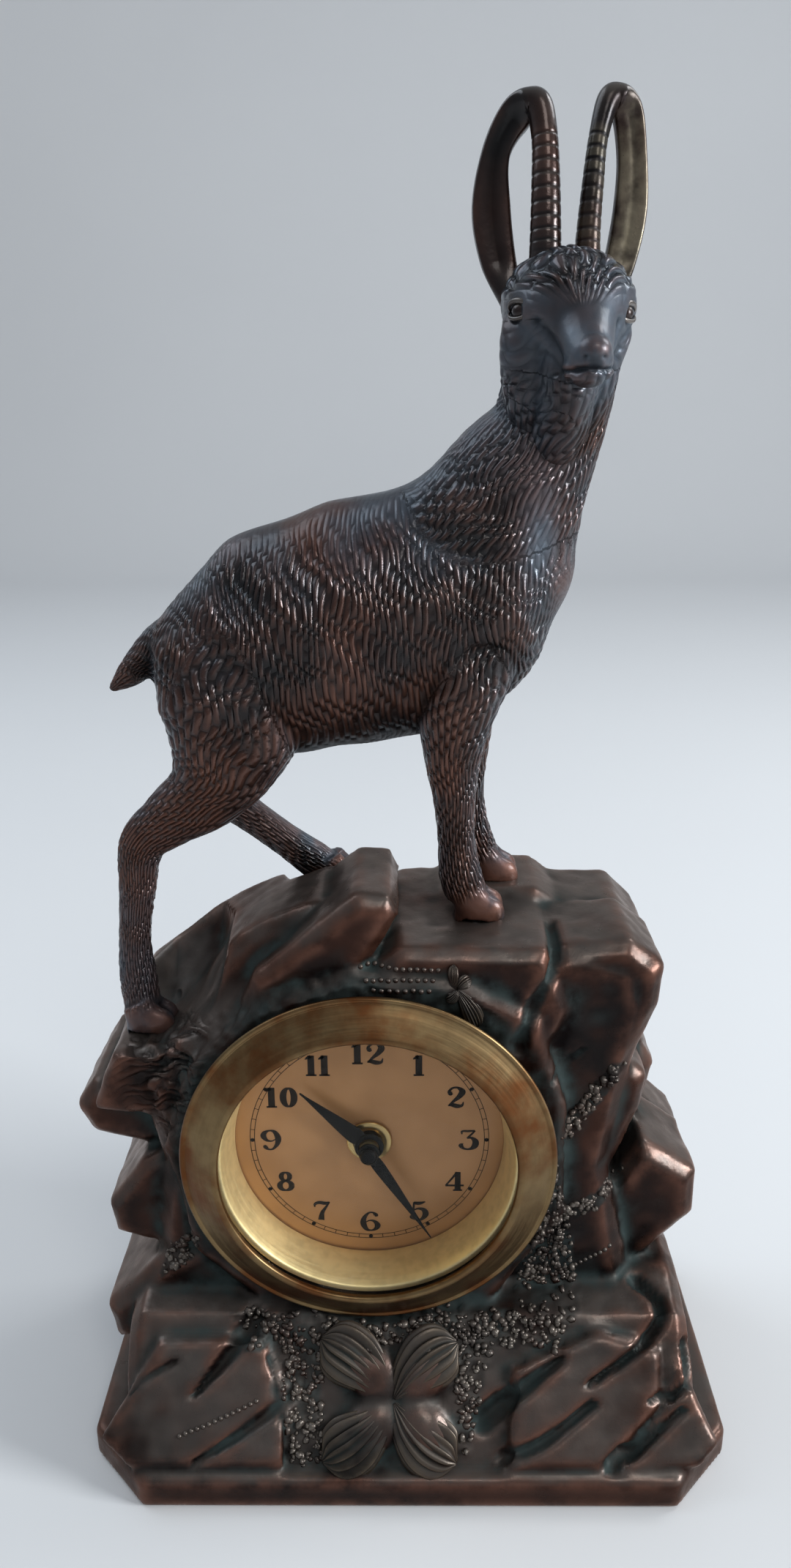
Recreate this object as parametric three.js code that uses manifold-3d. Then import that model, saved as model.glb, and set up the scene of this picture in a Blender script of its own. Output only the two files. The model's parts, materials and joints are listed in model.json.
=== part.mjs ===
// Figural desk clock: a cast chamois stands on a rocky plinth that holds a wind-up movement.
// Millimetres, +Z up. The dial faces -Y and the origin is the middle of the underside.
import * as THREE from "three";
import { mergeVertices } from "three/addons/utils/BufferGeometryUtils.js";
import Module from "manifold-3d";

const wasm = await Module();
wasm.setup();

// Driving dimensions: the casting
const SEAT_GAP = 0.3; // between separately made pieces that seat on each other
const BASE_WIDTH = 150;
const BASE_DEPTH = 90;
const PLINTH_HEIGHT = 8.5;
const CORNER_ALONG = 14; // clipped corners of the plinth, along its width
const CORNER_BACK = 15; // and along its depth
const CASTING_WALL = 6;

// Driving dimensions: the figure
const SHOULDER_HEIGHT = 199; // foot of the neck above the underside
const NECK_RISE = 58; // from there to the middle of the head
const HEAD_HEIGHT = SHOULDER_HEIGHT + NECK_RISE;

// Driving dimensions: the clock, measured from the dial's front face towards the viewer
const CLOCK_X = -9;
const CLOCK_HEIGHT = 77.5;
const DIAL_Y = -14.5;
const DRUM_RADIUS = 35;
const BEZEL_OVERHANG = 7; // bezel's rim beyond the drum
const BEZEL_LIP = 1.8; // how far the bezel's opening lies inside the drum's radius
const BEZEL_NOSE = 13.7; // how far the bezel's nose stands before the dial
const BEZEL_FOOT = 6.5; // back of the bezel's flange, before the dial
const COVER_OVERHANG = 5.5; // back cover's rim beyond the drum
const RING_INSET = 4; // how far the reflector ring's foot lies inside the drum's radius
const RING_WALL = 0.7;
const BEZEL_RADIUS = DRUM_RADIUS + BEZEL_OVERHANG;
const BEZEL_OPENING = DRUM_RADIUS - BEZEL_LIP;
const COVER_RADIUS = DRUM_RADIUS + COVER_OVERHANG;
const DRUM_WALL = 0.8;
const DRUM_LENGTH = 46.9;
const GLASS_THICKNESS = 1.6;
const DIAL_THICKNESS = 0.8;
const COVER_THICKNESS = 1.2;

// Driving dimensions: the movement
const PLATE_RADIUS = 29;
const PLATE_THICKNESS = 1.2;
const PLATE_DROP = 4.5; // dial's front face to the front plate
const PLATE_SPACE = 24; // between the plates
const PILLAR_RADIUS = 2.2;
const PILLAR_CIRCLE = 25.5;
const ARBOR_RADIUS = 1;
const RUNNING_GAP = 0.25;

// Driving dimensions: the hands and the time they show
const MINUTE_HAND_LENGTH = 27.4;
const HOUR_HAND_LENGTH = 21;
const HAND_THICKNESS = 0.5;
const SHOWN_HOUR = 10;
const SHOWN_MINUTE = 24.8;

// Driving dimensions: fixings under the casting
const STUD_RADIUS = 1.5;
const COVER_INSET_ALONG = 18; // plinth's sides to the base cover
const COVER_INSET_BACK = 8; // plinth's front and back to the base cover
const BASE_COVER_WIDTH = BASE_WIDTH - 2 * COVER_INSET_ALONG;
const BASE_COVER_DEPTH = BASE_DEPTH - 2 * COVER_INSET_BACK;
const BASE_COVER_THICKNESS = 1.5;
const BASE_SCREW_RADIUS = 1.3;
const BASE_SCREW_LENGTH = 6;
const SCREW_RADIUS = 1.5;

const ROUND = 32; // sides of the large turned pieces
const MIDDLE_ROUND = 24; // sides of the barrel and the larger turned pieces of the movement
const SMALL_ROUND = 12; // sides of pins, screws and arbors

// Finishes
const finish = (color, roughness, metalness) =>
  new THREE.MeshStandardMaterial({ color, roughness, metalness });
const BRONZE = finish(0x3a2a24, 0.42, 0.85);
const BRASS = finish(0xb08d4a, 0.3, 1);
const GILT = finish(0xc9a95c, 0.35, 0.9);
const DIAL_FINISH = finish(0xc39a6a, 0.5, 0.3);
const BLACK = finish(0x14130f, 0.4, 0.2);
const STEEL = finish(0x8d9094, 0.35, 1);
const TIN = finish(0x9a958a, 0.45, 1);
const GLASS = finish(0xe8eef0, 0.05, 0);

// Solids

/** A closed geometry as a manifold solid, with its faces turned out. */
function toSolid(geometry) {
  const bare = new THREE.BufferGeometry();
  bare.setAttribute("position", geometry.getAttribute("position").clone());
  if (geometry.index) bare.setIndex(geometry.index.clone());
  const merged = mergeVertices(bare, 1e-4);
  const corners = merged.index.array;
  const kept = [];
  for (let i = 0; i < corners.length; i += 3) {
    const [a, b, c] = [corners[i], corners[i + 1], corners[i + 2]];
    if (a !== b && b !== c && c !== a) kept.push(a, b, c);
  }
  const vertProperties = merged.getAttribute("position").array;
  const build = (triVerts) =>
    new wasm.Manifold(new wasm.Mesh({ numProp: 3, vertProperties, triVerts: new Uint32Array(triVerts) }));
  const made = build(kept);
  return made.volume() < 0 ? build(kept.reverse()) : made;
}

/** A manifold solid as a geometry. */
function toGeometry(solid) {
  const { vertProperties, triVerts } = solid.getMesh();
  const geometry = new THREE.BufferGeometry();
  geometry.setAttribute("position", new THREE.BufferAttribute(Float32Array.from(vertProperties), 3));
  geometry.setIndex(new THREE.BufferAttribute(Uint32Array.from(triVerts), 1));
  return geometry;
}

const fuse = (...pieces) => toGeometry(pieces.map(toSolid).reduce((a, b) => a.add(b)));
const carve = (base, ...tools) =>
  toGeometry(tools.map(toSolid).reduce((a, b) => a.subtract(b), toSolid(base)));

/** A profile of [radius, height] points turned about +Z. A profile clear of the axis is a ring. */
function turned(profile, sides = ROUND) {
  const points = profile.map(([r, z]) => new THREE.Vector2(r, z));
  if (profile[0][0] > 0) points.push(points[0].clone());
  return toGeometry(toSolid(new THREE.LatheGeometry(points, sides).rotateX(Math.PI / 2)));
}

/** A round bar along +Z from one height to another. */
const bar = (radius, from, to, sides = SMALL_ROUND) =>
  turned([[0, from], [radius, from], [radius, to], [0, to]], sides);

/** A round tube along +Z. */
const tube = (bore, radius, from, to, sides = SMALL_ROUND) =>
  turned([[bore, from], [radius, from], [radius, to], [bore, to]], sides);

/** A flat outline of [x, y] points thickened along +Z from one height to another. */
function plate(outline, from, to, bevel = 0) {
  const shape = new THREE.Shape(outline.map(([x, y]) => new THREE.Vector2(x, y)));
  const options = { depth: to - from - 2 * bevel, bevelEnabled: bevel > 0 };
  Object.assign(options, { bevelSize: bevel, bevelOffset: -bevel, bevelThickness: bevel, bevelSegments: 1 });
  return toGeometry(toSolid(new THREE.ExtrudeGeometry(shape, options).translate(0, 0, from + bevel)));
}

/** A plate drawn as [y, z] points, turned to run across the object's width. */
const acrossWidth = (geometry) => geometry.rotateX(Math.PI / 2).rotateZ(Math.PI / 2);

/** A box between two corners. */
function block([x0, y0, z0], [x1, y1, z1]) {
  const box = new THREE.BoxGeometry(x1 - x0, y1 - y0, z1 - z0);
  return box.translate((x0 + x1) / 2, (y0 + y1) / 2, (z0 + z1) / 2);
}

/** A smooth curve through points. */
const smoothCurve = (points) =>
  new THREE.CatmullRomCurve3(points.map((point) => new THREE.Vector3(...point)), false, "catmullrom");

/**
 * A limb lofted through oval sections [x, y, z, across, deep]: the half size across is measured along the
 * side direction and the half size deep square to it and to the limb. Both ends are closed.
 */
function limb(sections, { side = [0, 1, 0], sides = 8, steps = 2, grow = 0 } = {}) {
  const path = smoothCurve(sections.map(([x, y, z]) => [x, y, z]));
  const sizes = smoothCurve(sections.map(([, , , across, deep]) => [across, deep, 0]));
  const reference = new THREE.Vector3(...side);
  const rings = (sections.length - 1) * steps;
  const positions = [];
  for (let i = 0; i <= rings; i++) {
    const centre = path.getPoint(i / rings);
    const size = sizes.getPoint(i / rings);
    const along = path.getTangent(i / rings);
    const across = reference.clone().addScaledVector(along, -reference.dot(along)).normalize();
    const deep = along.clone().cross(across);
    for (let k = 0; k < sides; k++) {
      const angle = (2 * Math.PI * k) / sides;
      const point = centre.clone().addScaledVector(across, Math.cos(angle) * (size.x + grow));
      positions.push(...point.addScaledVector(deep, Math.sin(angle) * (size.y + grow)).toArray());
    }
  }
  const ends = [path.getPoint(0), path.getPoint(1)];
  ends.forEach((end) => positions.push(...end.toArray()));
  const [first, last] = [sides * (rings + 1), sides * (rings + 1) + 1];
  const faces = [];
  for (let k = 0; k < sides; k++) {
    const next = (k + 1) % sides;
    for (let i = 0; i < rings; i++) {
      const [a, b] = [i * sides + k, i * sides + next];
      faces.push(a, b, b + sides, a, b + sides, a + sides);
    }
    faces.push(next, k, first, rings * sides + k, rings * sides + next, last);
  }
  const geometry = new THREE.BufferGeometry();
  geometry.setAttribute("position", new THREE.BufferAttribute(new Float32Array(positions), 3));
  geometry.setIndex(faces);
  return toGeometry(toSolid(geometry));
}

/** An ellipsoid of the given half sizes. */
const egg = ([x, y, z], [a, b, c], around = 10, down = 6) =>
  toGeometry(toSolid(new THREE.SphereGeometry(1, around, down).scale(a, b, c).translate(x, y, z)));

// Chamois: hooves stand at these points, [x, y, z] of the middle of each sole
const SOLES = {
  nearFore: [16, 3, 127],
  farFore: [20.5, 19.5, 129.5],
  nearHind: [-61, 5, 101.5],
  farHind: [-17, 23, 126.5],
};
const HOOF_HEIGHT = 6.5;
const TOE_SPREAD = 2.2;
const HEAD_SIDES = 12;
const LEG_FACETS = { sides: 10, steps: 1 };

const TORSO = [
  [-58.5, 15.5, 184, 2.5, 3],
  [-55, 15.5, 184, 8.5, 9],
  [-47, 15, 185, 13.5, 16.2],
  [-34, 14.5, 187.8, 16.8, 22.6],
  [-17, 13.5, 190.8, 18.3, 25.6],
  [1, 12.5, 195, 17.8, 26.6],
  [17, 11.5, 199, 16, 23.8],
  [27.5, 11, 201, 12.5, 17],
  [33.5, 10.5, 202, 4, 6],
];
const NECK_DRAWN = 58; // the rise of the neck at which its sections are given
const NECK = [
  [6, 12.5, 0, 14, 20],
  [17, 11.5, 13, 14.5, 20],
  [24, 10.5, 25.5, 13.4, 15.6],
  [29, 9.8, 34.5, 12.4, 12],
  [30.9, 9, 41.7, 11.6, 11.2],
  [31.7, 8, 49, 11, 11.5],
  [31.8, 6.5, 55, 4, 4],
].map(([x, y, rise, ...size]) => [x, y, SHOULDER_HEIGHT + (rise * NECK_RISE) / NECK_DRAWN, ...size]);
const HEAD = [
  [29.5, 18, 0, 3, 3],
  [30, 15, 0.5, 8.5, 7.5],
  [31, 8, 0.8, 12.2, 10],
  [32.4, 0, 0, 12, 10.6],
  [33.3, -5, -2, 10.6, 9.8],
  [34, -11, -5.2, 7.8, 8.2],
  [34.3, -16.5, -7.7, 6.1, 6.6],
  [34.4, -20, -9, 5.3, 5.4],
  [34.4, -22, -9.6, 2, 2],
].map(([x, y, z, ...size]) => [x, y, HEAD_HEIGHT + z, ...size]);
const NEAR_FORE_LEG = [
  [17, 7, 203, 6, 10],
  [15, 5, 190, 9, 13.5],
  [12.2, 4, 177, 8, 10],
  [10.2, 3.4, 167, 6, 6.8],
  [10.6, 3, 155, 4.4, 4.7],
  [11.2, 3, 145, 3.9, 4.2],
  [12, 3, 137.5, 4.4, 4.8],
  [13.6, 3, 132, 4.2, 4.8],
];
const FAR_FORE_LEG = [
  [19, 17, 203, 6, 9],
  [17.5, 18, 190, 8, 11],
  [15.5, 19, 177, 6.8, 8.4],
  [14.3, 19.5, 167, 5.2, 5.6],
  [14.2, 19.5, 155, 4.1, 4.2],
  [14.7, 19.5, 147, 3.7, 4],
  [16, 19.5, 140, 4.1, 4.4],
  [18, 19.5, 134.8, 4, 4.4],
];
const NEAR_HIND_LEG = [
  [-34, 9, 196, 5, 10],
  [-38, 7, 184, 9.5, 17.5],
  [-39.5, 5.5, 169, 9, 15],
  [-45, 5, 157, 6.6, 9.6],
  [-54, 5, 149.8, 5, 6.8],
  [-60.8, 5, 143.5, 4.2, 5.3],
  [-62.8, 5, 132, 3.5, 4.2],
  [-64, 5, 120, 3.4, 3.6],
  [-63.8, 5, 113, 4, 4.3],
  [-62.8, 5, 106.5, 4, 4.4],
];
const FAR_HIND_LEG = [
  [-32, 17, 194, 5, 9],
  [-35, 19.5, 181, 8, 14],
  [-39, 21, 167, 7.2, 11],
  [-43.5, 21.8, 156.5, 5.6, 7],
  [-45, 22, 150, 4.5, 4.8],
  [-38.5, 22.3, 144.6, 3.8, 4.2],
  [-29.5, 22.7, 137.4, 3.6, 4.1],
  [-23.5, 23, 132.6, 4.2, 4.6],
  [-20, 23, 130, 4, 4.4],
];
const TAIL = [
  [-52, 15.5, 191, 5, 4.5],
  [-57, 15.5, 186.5, 4.6, 4.4],
  [-62, 15.5, 181.8, 3.2, 3.4],
  [-67.6, 15.5, 177.4, 0.8, 0.8],
];

/** One cloven hoof: two toes side by side, flat at the sole. */
function hoof([x, y, z]) {
  const toe = (offset) =>
    limb(
      [
        [x - 2.6, y + offset * 0.8, z + HOOF_HEIGHT, 2.3, 3.6],
        [x - 1, y + offset, z + HOOF_HEIGHT / 2, 2.7, 4.6],
        [x + 0.6, y + offset, z - 1, 3, 6],
      ],
      { sides: 7, steps: 1 },
    );
  const sole = block([x - 15, y - 15, z - 10], [x + 15, y + 15, z]);
  return carve(fuse(toe(-TOE_SPREAD), toe(TOE_SPREAD)), sole);
}

const headLoft = (grow) => limb(HEAD, { side: [1, 0, 0], sides: HEAD_SIDES, steps: 1, grow });

function chamoisCasting() {
  const eye = (side) => egg([33 + side * 9.2, -2.8, HEAD_HEIGHT - 0.4], [2.3, 3, 2.4], 8, 4);
  const nose = egg([34.4, -20.2, HEAD_HEIGHT - 7], [4.4, 2.8, 3], 8, 4);
  const mouth = block([26, -30, HEAD_HEIGHT - 11.8], [42, -17.5, HEAD_HEIGHT - 11.1]);
  const figure = fuse(
    limb(TORSO, { sides: 14, steps: 1 }),
    limb(NECK, { sides: 12, steps: 1 }),
    headLoft(0),
    limb(NEAR_FORE_LEG, LEG_FACETS),
    limb(FAR_FORE_LEG, LEG_FACETS),
    limb(NEAR_HIND_LEG, LEG_FACETS),
    limb(FAR_HIND_LEG, LEG_FACETS),
    limb(TAIL, { sides: 8 }),
    ...Object.values(SOLES).map(hoof),
    eye(-1),
    eye(1),
    nose,
  );
  return carve(figure, mouth, ...STUDS.map(studHole));
}

// Horns: each rises from the brow, hooks outward over the ear and runs down it to the side of the head
const HORN_RINGS = 8;
const EAR_STEPS = 11;
const RING_SWELL = 0.35; // how far a growth ring stands out of the horn
const RINGED_SHARE = 0.36; // part of the loop, from the brow, that carries the rings
const HORN_MIDDLE = 32;
const EAR_SPREAD = { left: 1, right: 0.84 }; // the right ear is turned more nearly edge-on

/**
 * The path of a horn and ear on one side of the head, as limb sections. Each point lies out from the middle
 * of the head by a share that is the horn's own, plus a share that is the ear's and scales with its spread.
 */
const hornPath = (side, spread) =>
  [
    [4.9, 0, 3, 6, 3.2, 3.2],
    [4.9, 0, 4, 13, 3.1, 3.1],
    [5, 0, 5.5, 22, 2.8, 2.8],
    [5.4, 0, 7.5, 31, 2.6, 2.6],
    [6.4, 0.8, 9.6, 37, 2.6, 2.8],
    [6.6, 3.6, 11, 36, 3, 2.4],
    [6.6, 6.4, 11.4, 27.5, 3.6, 2],
    [6.6, 7.6, 11, 17.5, 4.1, 1.9],
    [6.6, 6.6, 10, 8, 3.4, 2],
    [6.6, 3.6, 9, 1.5, 2.6, 2.2],
  ].map(([horn, ear, y, z, ...size]) => [
    HORN_MIDDLE + side * (horn + ear * spread), y, HEAD_HEIGHT + z, ...size,
  ]);

/** One horn with its growth rings and the ear that it hooks down to, trimmed to seat on the head. */
function hornCasting(side, spread) {
  const path = hornPath(side, spread);
  const places = smoothCurve(path.map(([x, y, z]) => [x, y, z]));
  const sizes = smoothCurve(path.map(([, , , across, deep]) => [across, deep, 0]));
  const ringed = Array.from({ length: HORN_RINGS * 2 + 1 }, (_, i) => [
    (i * RINGED_SHARE) / (HORN_RINGS * 2),
    (i % 2) * RING_SWELL,
  ]);
  const smooth = Array.from({ length: EAR_STEPS }, (_, i) => [
    RINGED_SHARE + ((1 - RINGED_SHARE) * (i + 1)) / EAR_STEPS,
    0,
  ]);
  const sections = [...ringed, ...smooth].map(([share, swell]) => {
    const size = sizes.getPoint(share);
    return [...places.getPoint(share).toArray(), size.x + swell, size.y + swell];
  });
  return carve(limb(sections, { side: [1, 0, 0], sides: 8, steps: 1 }), headLoft(SEAT_GAP));
}

// Studs that hold the figure down: they stand in the soles and pass through the rock to nuts inside it
const STUDS = [SOLES.nearFore, SOLES.nearHind];
const STUD_NAMES = ["fore_hoof", "hind_hoof"];
const STUD_ABOVE = 4.5; // length inside the hoof
const STUD_BELOW = 12; // length below the sole
const NUT_HEIGHT = 2.4;
const NUT_RADIUS = 3.2;
const WASHER_HEIGHT = 0.8;
const PAD_AHEAD = 8; // flat seat cut in the rock under each hoof: before, behind and beside its middle
const PAD_BEHIND = 12;
const PAD_HALF = 7;
const POCKET_RADIUS = 5.5;
const POCKET_DEPTH = 22; // below the wall that the nut pulls on
const DOOR_HEIGHT = 11; // of the way from the hind pocket to the clock's bore
const DOOR_HALF = 4.5; // half its width

const studHole = ([x, y, z]) =>
  bar(STUD_RADIUS + SEAT_GAP, -CASTING_WALL * 3, STUD_ABOVE + SEAT_GAP).translate(x, y, z);
const stud = ([x, y, z]) => bar(STUD_RADIUS, -STUD_BELOW, STUD_ABOVE).translate(x, y, z);
const washer = ([x, y, z]) => {
  const top = -SEAT_GAP - CASTING_WALL - SEAT_GAP;
  return tube(STUD_RADIUS + SEAT_GAP, NUT_RADIUS + 0.8, top - WASHER_HEIGHT, top).translate(x, y, z);
};
const nut = ([x, y, z]) => {
  const top = -SEAT_GAP - CASTING_WALL - WASHER_HEIGHT - 2 * SEAT_GAP;
  return tube(STUD_RADIUS + SEAT_GAP, NUT_RADIUS, top - NUT_HEIGHT, top, 6).translate(x, y, z);
};

// Rock: strata that all dip from the upper right to the lower left, each an outline of [x, z] points
const STRATA = [
  {
    front: -15,
    back: 34,
    bevel: 4,
    outline: [[-62, 4], [-61, 40], [-58, 70], [-62, 94], [-44, 108], [-24, 120], [-4, 126], [40, 126],
      [52, 122], [54, 112], [47, 70], [53, 40], [61, 4]],
  },
  {
    front: -20.7,
    back: 6,
    bevel: 2,
    outline: [[-50, 50], [-56, 78], [-48, 102], [-34, 115], [-12, 123], [12, 121], [29, 112], [36, 88],
      [36, 60], [20, 36], [-36, 36]],
  },
  {
    front: -13,
    back: 24,
    bevel: 2,
    outline: [[-73, 84], [-68, 99], [-65, 103], [-50, 104], [-34, 96], [-40, 80]],
  },
  {
    front: -9,
    back: 26,
    bevel: 3.5,
    outline: [[-67, 98], [-64, 107.5], [-48, 120], [-32, 129.5], [-20, 134], [-8, 134], [-4, 126],
      [-20, 112], [-50, 96]],
  },
  {
    front: -18,
    back: 32,
    bevel: 2.5,
    outline: [[-14, 106], [-9, 122], [-2, 127.6], [30, 127], [36, 112], [30, 98]],
  },
  {
    front: 9,
    back: 33,
    bevel: 2,
    outline: [[4, 118], [8, 128], [14, 131], [31, 130.6], [38, 124], [30, 112]],
  },
  {
    front: -17.5,
    back: 15,
    bevel: 2.5,
    outline: [[-38, 113], [-34, 121], [-11, 140], [-4, 139.5], [-2, 135], [-10, 121], [-30, 110]],
  },
  {
    front: -14,
    back: 14,
    bevel: 3,
    outline: [[23, 100], [32, 126], [49, 127.5], [57, 121], [56, 111], [39, 63], [30, 58]],
  },
  {
    front: 2,
    back: 35,
    bevel: 3.5,
    outline: [[24, 96], [34, 126.4], [50, 125.5], [57, 119], [61, 107], [50, 66], [32, 60]],
  },
  {
    front: -10.5,
    back: 20,
    bevel: 2.5,
    outline: [[33, 56], [50, 96], [55.5, 91], [54, 82], [41, 43]],
  },
  {
    front: 2,
    back: 32,
    bevel: 3,
    outline: [[32, 52], [54, 96], [60, 86], [57, 70], [42, 40]],
  },
  {
    front: -9,
    back: 18,
    bevel: 3,
    outline: [[37, 42], [56, 72], [69.5, 63], [69.5, 51], [45, 25]],
  },
  {
    front: 4,
    back: 34,
    bevel: 3.5,
    outline: [[36, 38], [58, 70], [70, 60], [74, 46], [56, 22]],
  },
  {
    front: -6.5,
    back: 30,
    bevel: 3,
    outline: [[-50, 96], [-62, 90], [-75, 87], [-79.5, 80], [-76, 73], [-63, 69], [-48, 74]],
  },
  {
    front: -10.5,
    back: 26,
    bevel: 2.5,
    outline: [[-48, 77], [-64, 67], [-73, 55], [-71.5, 47], [-62, 44], [-46, 52]],
  },
  {
    front: -17,
    back: 28,
    bevel: 3,
    outline: [[-40, 53], [-57, 47], [-74, 30], [-72, 20], [-58, 22], [-32, 31]],
  },
];

/** One stratum: its outline stands upright and is thickened from its front to its back. */
const stratum = ({ outline, front, back, bevel }) =>
  plate(outline, -back, -front, bevel).rotateX(Math.PI / 2);

// Apron: the slope from the plinth's front edge up to the bezel, with plates and leaves lying on it
const APRON_FOOT = [-BASE_DEPTH / 2 + 3, PLINTH_HEIGHT - 0.5]; // [y, z] of its lower front edge
const APRON_TOP = [-24, 36];
const APRON_ANGLE = Math.atan2(APRON_TOP[1] - APRON_FOOT[1], APRON_TOP[0] - APRON_FOOT[0]);
const APRON_HALF_WIDTH = BASE_WIDTH / 2 - 9;
const APRON_PLATES = [
  { rise: 2.6, outline: [[-71, 7], [-64, 1], [-29, 1], [-27, 15], [-34, 29], [-58, 28]] },
  { rise: 2.6, outline: [[22, 1], [45, 1], [57, 14], [58, 26], [44, 30], [24, 22]] },
  { rise: 1.8, outline: [[48, 1], [66, 1], [71, 6], [63, 22], [59, 13]] },
];
const LEAF_CENTRE = [-3, 15]; // [x, distance up the slope]
const LEAF_LENGTH = 17;
const LEAF_WIDTH = 12;
const LEAF_RISE = 3.2;

/** A shape drawn on the apron, x across and y up the slope with z standing out of it, put in place. */
const onApron = (geometry) => geometry.rotateX(APRON_ANGLE).translate(0, ...APRON_FOOT);

function apron() {
  const [footY, footZ] = APRON_FOOT;
  const [topY, topZ] = APRON_TOP;
  const profile = [[footY, footZ], [topY, topZ], [-10, topZ + 3], [30, topZ], [BASE_DEPTH / 2 - 4, footZ]];
  const wedge = acrossWidth(plate(profile, -APRON_HALF_WIDTH, APRON_HALF_WIDTH, 3));
  const plates = APRON_PLATES.map(({ outline, rise }) => onApron(plate(outline, -3, rise, 1.2)));
  const leaves = [45, 135, 225, 315].map((angle) => {
    const leaf = egg([LEAF_LENGTH / 2, 0, 0], [LEAF_LENGTH / 2, LEAF_WIDTH / 2, LEAF_RISE], 12, 8);
    return onApron(leaf.rotateZ(THREE.MathUtils.degToRad(angle)).translate(...LEAF_CENTRE, 0));
  });
  return [wedge, ...plates, ...leaves];
}

/** The plinth's outline: a rectangle with clipped corners. */
function plinthOutline() {
  const [w, d] = [BASE_WIDTH / 2, BASE_DEPTH / 2];
  const [a, b] = [CORNER_ALONG, CORNER_BACK];
  const front = [[-w, -d + b], [-w + a, -d], [w - a, -d], [w, -d + b]];
  return [...front, ...front.map(([x, y]) => [-x, -y])];
}

/** A round hole along the clock's axis, between two distances before the dial. */
const clockBore = (radius, from, to) => inClockFrame(bar(radius, from, to, ROUND));
const inClockFrame = (geometry) => geometry.rotateX(Math.PI / 2).translate(CLOCK_X, DIAL_Y, CLOCK_HEIGHT);

const DRUM_FRONT = 8.9; // front edge of the drum, before the dial
const DRUM_BACK = DRUM_FRONT - DRUM_LENGTH;
const BORE_RADIUS = DRUM_RADIUS + 2;
const FACE_SEAT = BEZEL_FOOT - SEAT_GAP;

const LEDGE = 4; // width of the ledge that the base cover seats on, at its front and back
const HOLLOW_HALF_WIDTH = BASE_COVER_WIDTH / 2 - LEDGE - 5;
const HOLLOW_TOP = CLOCK_HEIGHT - BORE_RADIUS - CASTING_WALL - 4.5;

/** The hollow under the clock, drawn as [y, z] points across the width, and the rebate for its cover. */
function castingHollow() {
  const reach = BASE_COVER_DEPTH / 2 - LEDGE;
  const outline = [[-reach, -1], [-reach, PLINTH_HEIGHT], [-reach + 13, HOLLOW_TOP], [reach - 6, HOLLOW_TOP],
    [reach, PLINTH_HEIGHT], [reach, -1]];
  const chamber = acrossWidth(plate(outline, -HOLLOW_HALF_WIDTH, HOLLOW_HALF_WIDTH));
  const [w, d] = [BASE_COVER_WIDTH / 2 + SEAT_GAP, BASE_COVER_DEPTH / 2 + SEAT_GAP];
  return [chamber, block([-w, -d, -1], [w, d, BASE_COVER_THICKNESS + SEAT_GAP])];
}

function rockCasting() {
  const whole = fuse(plate(plinthOutline(), 0, PLINTH_HEIGHT, 1), ...STRATA.map(stratum), ...apron());
  const pads = Object.values(SOLES).map(([x, y, z]) =>
    block([x - PAD_BEHIND, y - PAD_HALF, z - SEAT_GAP], [x + PAD_AHEAD, y + PAD_HALF, z + 40]),
  );
  const wall = SEAT_GAP + CASTING_WALL;
  const pockets = STUDS.map(([x, y, z]) =>
    bar(POCKET_RADIUS, z - wall - POCKET_DEPTH, z - wall).translate(x, y, 0),
  );
  const [hindX, hindY, hindZ] = SOLES.nearHind;
  const floor = hindZ - wall - POCKET_DEPTH;
  const door = block(
    [hindX, hindY - DOOR_HALF, floor],
    [CLOCK_X - BORE_RADIUS + CASTING_WALL, hindY + DOOR_HALF, floor + DOOR_HEIGHT],
  );
  const screwHoles = baseScrewPlaces.map(([x, y]) =>
    bar(BASE_SCREW_RADIUS + SEAT_GAP, 0, BASE_SCREW_LENGTH + 1, 8).translate(x, y, 0),
  );
  return carve(
    whole,
    clockBore(BORE_RADIUS, DRUM_BACK, FACE_SEAT + 1),
    clockBore(BEZEL_RADIUS + 1.2, FACE_SEAT, FACE_SEAT + 30),
    clockBore(COVER_RADIUS + 1, DRUM_BACK - 40, DRUM_BACK),
    ...castingHollow(),
    ...screwHoles,
    ...pads,
    ...pockets,
    door,
    ...STUDS.map(studHole),
  );
}

// Underside
const BASE_SCREW_INSET = 4.5; // from the cover's side edges
const baseScrewX = BASE_COVER_WIDTH / 2 - BASE_SCREW_INSET;
const baseScrewY = BASE_COVER_DEPTH / 2 - 3 * BASE_SCREW_INSET;
const baseScrewPlaces = [-1, 1].flatMap((sx) => [-1, 1].map((sy) => [sx * baseScrewX, sy * baseScrewY]));
const BASE_SCREW_HEAD = 2.4;

function baseCover() {
  const [w, d] = [BASE_COVER_WIDTH / 2, BASE_COVER_DEPTH / 2];
  const sheet = plate([[-w, -d], [w, -d], [w, d], [-w, d]], 0, BASE_COVER_THICKNESS);
  const sinks = baseScrewPlaces.map(([x, y]) => {
    const [shank, head] = [BASE_SCREW_RADIUS + SEAT_GAP, BASE_SCREW_HEAD + SEAT_GAP];
    const cone = [[0, -1], [head, -1], [head, 0], [shank, 1.1], [shank, 3], [0, 3]];
    return turned(cone, 8).translate(x, y, 0);
  });
  return carve(sheet, ...sinks);
}

/** A countersunk screw whose head lies just inside the cover's underside. */
const baseScrew = ([x, y]) =>
  turned(
    [
      [0, 0.1],
      [BASE_SCREW_HEAD, 0.1],
      [BASE_SCREW_RADIUS, 1.2],
      [BASE_SCREW_RADIUS, BASE_SCREW_LENGTH],
      [0, BASE_SCREW_LENGTH],
    ],
    8,
  ).translate(x, y, 0);

// Clock case: each profile is drawn about the dial's axis, heights before the dial's front face
const GLASS_BACK = 10.4;
const GLASS_FRONT = GLASS_BACK + GLASS_THICKNESS;
const SKIRT_BORE = DRUM_RADIUS + SEAT_GAP;

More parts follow.
